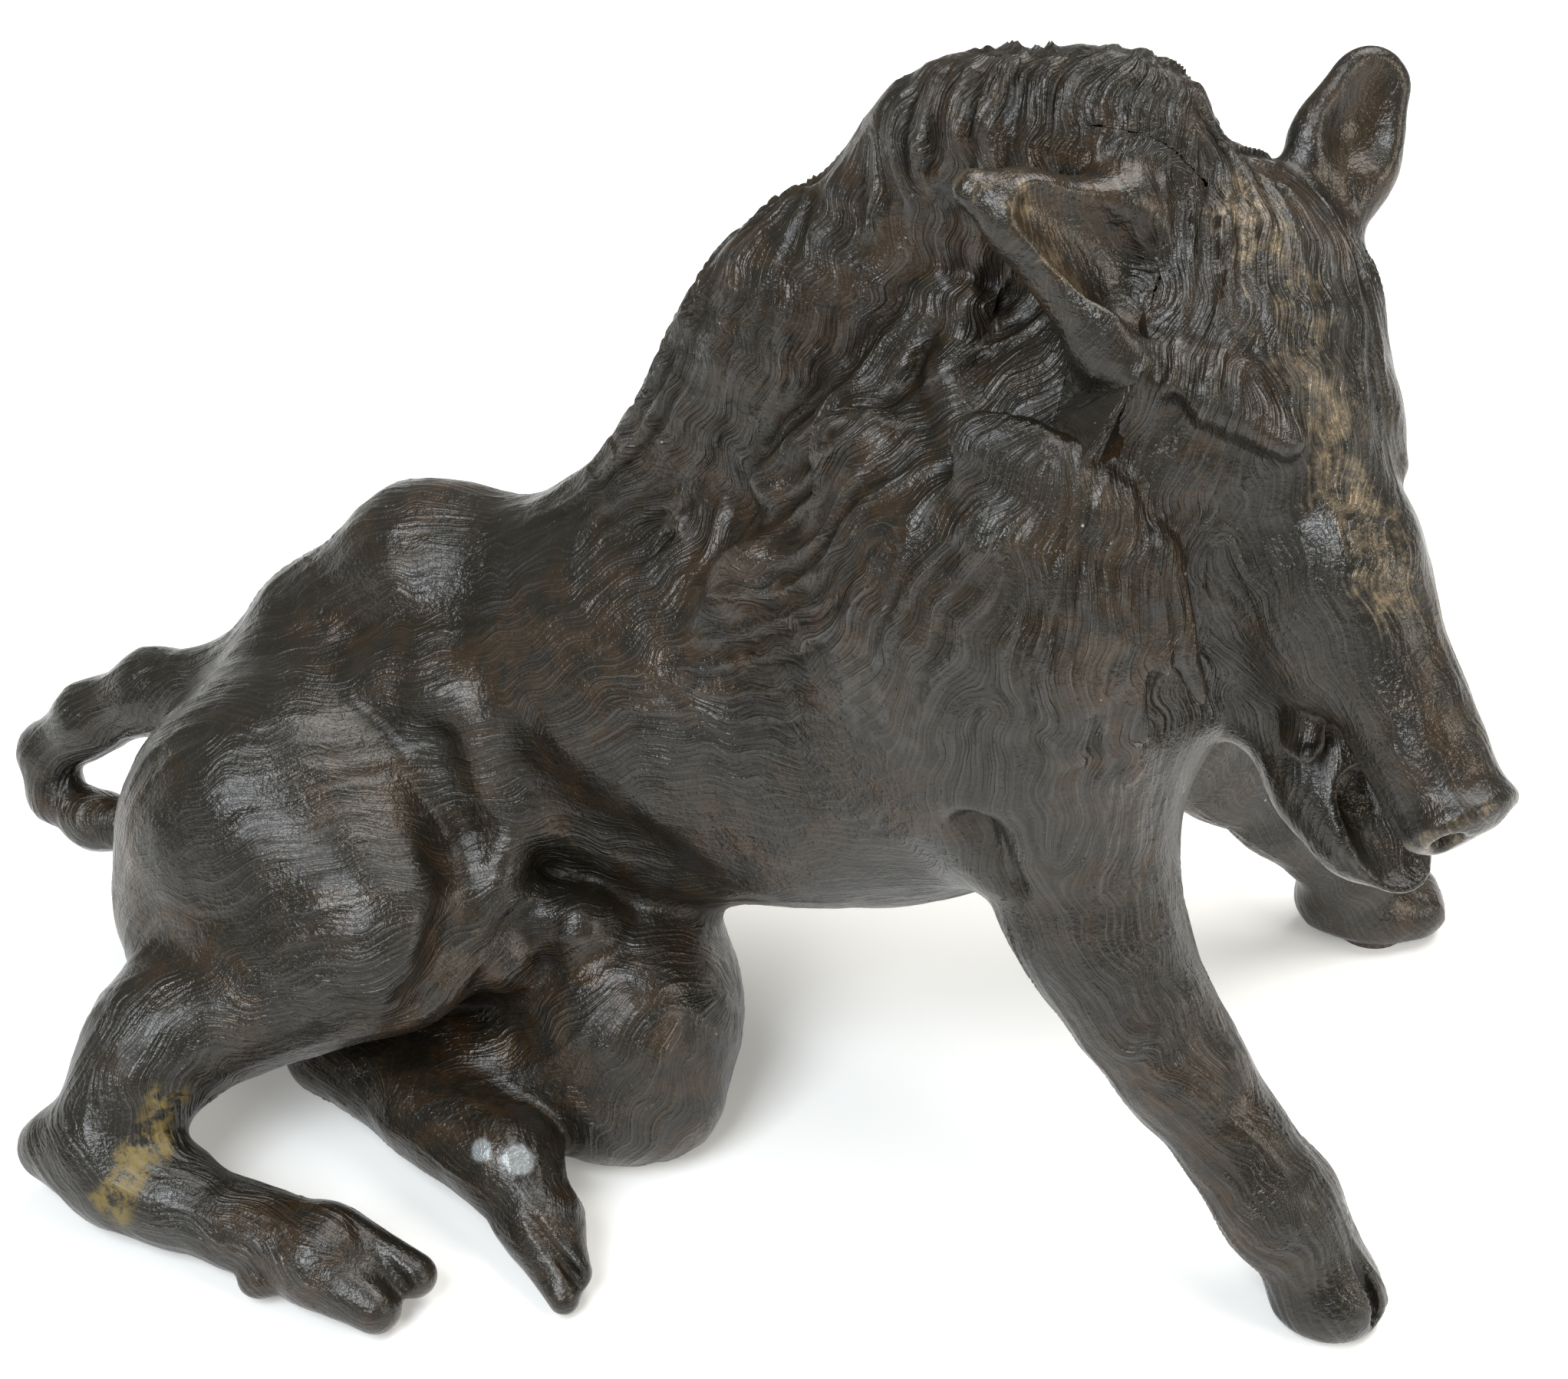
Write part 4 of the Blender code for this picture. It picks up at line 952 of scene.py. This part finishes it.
def make_piece(name, code, lo, hi, step, felt=False):
    shapes = ALL if code in (1, 2, 7, 8) else BODY
    g, lo = lattice(shapes, lo, hi, step)
    z = lo[2] + step * np.arange(g.shape[2])
    base = FLOOR + (1.9 if felt else 0.0)
    g = np.maximum(g, (base - z)[None, None, :].astype(F))
    v, q = nets(g, lo, step)
    own = owner(v)
    planes = []
    for cut in CUTS.get(code, [name]):
        if cut == "seam":
            planes.append((np.array((SEAM_X, 0, 0)), np.array((1.0, 0, 0)), None))
        elif cut == "neck":
            planes.append((NECK_P, NECK_N, None))
        else:
            d = np.array(JOINTS[cut][1], float)
            planes.append((np.array(JOINTS[cut][0], float), d / np.linalg.norm(d), cut))
    keep = own == code
    for p0, d, nm in planes:
        t = np.abs((v - p0) @ d) < 3.5 * step
        if nm:
            t &= limb_near(nm, v, 6.0)
        keep |= t
    q = q[keep[q].any(1)]
    used, q = np.unique(q, return_inverse=True)
    q = q.reshape(-1, 4)
    v = ease(v[used], q, 2)
    fl = (v[:, 2] < base + 0.3 * step)
    v = settle(lambda p: np.maximum(at(shapes, p), base - p[:, 2]), v.astype(F))
    n = vertex_normals(v, q)
    c = comb.sample(v, n)
    m = masks(v)
    high = relief(v, c, m)
    ground = 1 - step_up(v[:, 2], base, base + 2.5)
    high = high * (1 - ground)
    moved = v + n * high[:, None]
    moved[:, 2] = np.maximum(moved[:, 2], base)
    # hollows are darkened in colour as painted shade, high places are worn: the local height against the smoothed skin
    soft = ease(moved.copy(), q, 10)
    cav = ((moved - soft) * n).sum(1)
    mesh = bpy.data.meshes.new(name)
    mesh.vertices.add(len(moved))
    mesh.vertices.foreach_set("co", to_scene(moved).astype(np.float32).ravel())
    mesh.loops.add(q.size)
    mesh.loops.foreach_set("vertex_index", q.astype(np.int32).ravel())
    mesh.polygons.add(len(q))
    mesh.polygons.foreach_set("loop_start", np.arange(0, q.size, 4, dtype=np.int32))
    mesh.update(calc_edges=True)
    uv = c * np.array((1, 1, 0.001))
    for key, val in (("comb", uv), ("fur", fur_strength(v, m) * np.hypot(c[:, 0], c[:, 1])), ("pale", chalk_stops_and_painted_sheen(v)), ("rub", rubbed(v, m)), ("warm", browned(v, m)),
                     ("mend", mended(v)), ("cav", cav)):
        if val.ndim == 2:
            at_ = mesh.attributes.new(key, 'FLOAT_VECTOR', 'POINT')
            at_.data.foreach_set("vector", val.astype(np.float32).ravel())
        else:
            at_ = mesh.attributes.new(key, 'FLOAT', 'POINT')
            at_.data.foreach_set("value", val.astype(np.float32))
    import bmesh
    bm = bmesh.new()
    bm.from_mesh(mesh)
    for p0, d, nm in planes:
        bm.verts.ensure_lookup_table()
        co = np.array([w.co[:] for w in bm.verts]) * 1000 - SHIFT
        t = (co - p0) @ d
        ok = np.abs(t) < 4 * step
        if nm:
            ok &= limb_near(nm, co.astype(F), 7.0)
        ids = set(np.nonzero(ok)[0].tolist())
        faces = [f for f in bm.faces if all(w.index in ids for w in f.verts)]
        geom = set(faces)
        for f in faces:
            geom.update(f.edges)
            geom.update(f.verts)
        if faces:
            bmesh.ops.bisect_plane(bm, geom=list(geom), dist=1e-7, plane_co=Vector(((p0 + SHIFT) * 0.001).tolist()),
                                   plane_no=Vector(d.tolist()))
    bm.faces.ensure_lookup_table()
    mid = np.array([f.calc_center_median()[:] for f in bm.faces]) * 1000 - SHIFT
    own = owner(mid.astype(F))
    gone = [bm.faces[i] for i in np.nonzero(own != code)[0].tolist()]
    bmesh.ops.delete(bm, geom=gone, context='FACES')
    rim = [e for e in bm.edges if e.is_boundary]
    if rim:
        made = bmesh.ops.holes_fill(bm, edges=rim, sides=0)["faces"]
        bmesh.ops.triangulate(bm, faces=made)
    bmesh.ops.recalc_face_normals(bm, faces=bm.faces)
    bm.to_mesh(mesh)
    bm.free()
    mesh.polygons.foreach_set("use_smooth", np.ones(len(mesh.polygons), bool))
    mesh.set_sharp_from_angle(angle=np.radians(70))
    obj = bpy.data.objects.new(name + "_skin", mesh)
    bpy.context.scene.collection.objects.link(obj)
    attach(obj, "root")
    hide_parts(name)
    mesh.materials.append(bronze)
    print(name, "faces", len(mesh.polygons))
    return obj


# ---------------------------------------------------------------- the castings
PIECES = [
    # name, code, box low, box high, step, on felt
    ("trunk_casting", 0, (-152, -96, -3), (44, 66, 224), 1.08, False),
    ("shoulder_casting", 1, (36, -66, 40), (112, 62, 232), 0.8, False),
    ("head_casting", 2, (28, -92, 70), (156, 50, 236), 0.66, False),
    ("right_foreleg", 3, (56, -84, -3), (138, -24, 88), 0.72, True),
    ("left_foreleg", 4, (60, 12, -3), (146, 72, 84), 0.72, True),
    ("right_hind_leg", 5, (-146, -118, -3), (-38, -56, 48), 0.66, False),
    ("left_hind_foot", 6, (-74, -106, -3), (-8, -50, 32), 0.66, False),
    ("right_ear", 7, (24, -54, 160), (94, 12, 228), 0.62, False),
    ("left_ear", 8, (66, -2, 166), (118, 44, 230), 0.62, False),
    ("tail", 9, (-182, -22, 10), (-108, 16, 84), 0.66, False),
]
built = [make_piece(*row) for row in PIECES]

for name, obj in frame["nodes"].items():
    if obj.hide_render:
        continue
    for i in range(max(1, len(obj.material_slots))):
        if not obj.material_slots:
            obj.data.materials.append(None)
        obj.material_slots[i].material = felt if "felt" in name else bare

# ---------------------------------------------------------------- stage, light, camera
def paper():
    w = Wires("seamless_paper")
    pos = w.node('ShaderNodeTexCoord').outputs['Object']
    out = w.node('ShaderNodeOutputMaterial')
    bsdf = w.node('ShaderNodeBsdfPrincipled')
    w.link(bsdf.outputs[0], out.inputs[0])
    col = w.mix(w.noise(pos, 6, 3.0), (0.86, 0.86, 0.855, 1), (0.90, 0.90, 0.895, 1))
    w.feed(bsdf.inputs['Base Color'], col)
    bsdf.inputs['Roughness'].default_value = 0.75
    bsdf.inputs['Specular IOR Level'].default_value = 0.2
    bsdf.inputs['Emission Color'].default_value = (1.0, 0.99, 0.96, 1)
    bsdf.inputs['Emission Strength'].default_value = 0.20
    return w.mat


mesh = bpy.data.meshes.new("floor")
ring = [(3.0 * np.cos(t), 3.0 * np.sin(t), 0.0) for t in np.linspace(0, 2 * np.pi, 64, endpoint=False)]
mesh.from_pydata(ring, [], [tuple(range(64))])
mesh.materials.append(paper())
floor = bpy.data.objects.new("floor", mesh)
bpy.context.scene.collection.objects.link(floor)

world = bpy.data.worlds.new("studio")
bpy.context.scene.world = world
world.use_nodes = True
world.node_tree.nodes["Background"].inputs[0].default_value = (0.98, 0.975, 0.905, 1)
world.node_tree.nodes["Background"].inputs[1].default_value = 0.36


def lamp(name, loc, aim, size, watts, color, size_y=None):
    data = bpy.data.lights.new(name, 'AREA')
    data.shape = 'RECTANGLE'
    data.size, data.size_y = size, size_y or size
    data.energy, data.color = watts, color
    obj = bpy.data.objects.new(name, data)
    obj.location = loc
    obj.rotation_euler = (Vector(aim) - Vector(loc)).to_track_quat('-Z', 'Y').to_euler()
    bpy.context.scene.collection.objects.link(obj)
    return obj


lamp("window", (-0.35, -0.9, 1.15), (0, 0, 0.08), 0.7, 20.0, (0.90, 0.955, 1.0), 0.9)
lamp("overhead", (0.35, 0.35, 1.2), (0, 0, 0.08), 0.9, 15.0, (1.0, 0.985, 0.96))
lamp("warm_side", (1.1, -0.35, 0.55), (0.05, 0, 0.1), 0.5, 5.0, (1.0, 0.92, 0.80))

AZ, EL, FAR, FOCAL_PX = np.radians(12.0), np.radians(38.0), 600.0, 3960.0
target = np.array((0.0, 0.0, 85.0))
back = np.array((np.sin(AZ) * np.cos(EL), -np.cos(AZ) * np.cos(EL), np.sin(EL)))
cam = bpy.data.cameras.new("camera")
cam.sensor_width, cam.lens = 36.0, FOCAL_PX / 2044 * 36.0
cam.clip_start, cam.clip_end = 0.02, 20
camera = bpy.data.objects.new("camera", cam)
camera.location = to_scene(target + back * FAR)
camera.rotation_euler = Vector((-back).tolist()).to_track_quat('-Z', 'Y').to_euler()
bpy.context.scene.collection.objects.link(camera)
bpy.context.scene.camera = camera
bpy.context.scene.view_settings.view_transform = 'Standard'
bpy.context.scene.view_settings.look = 'None'
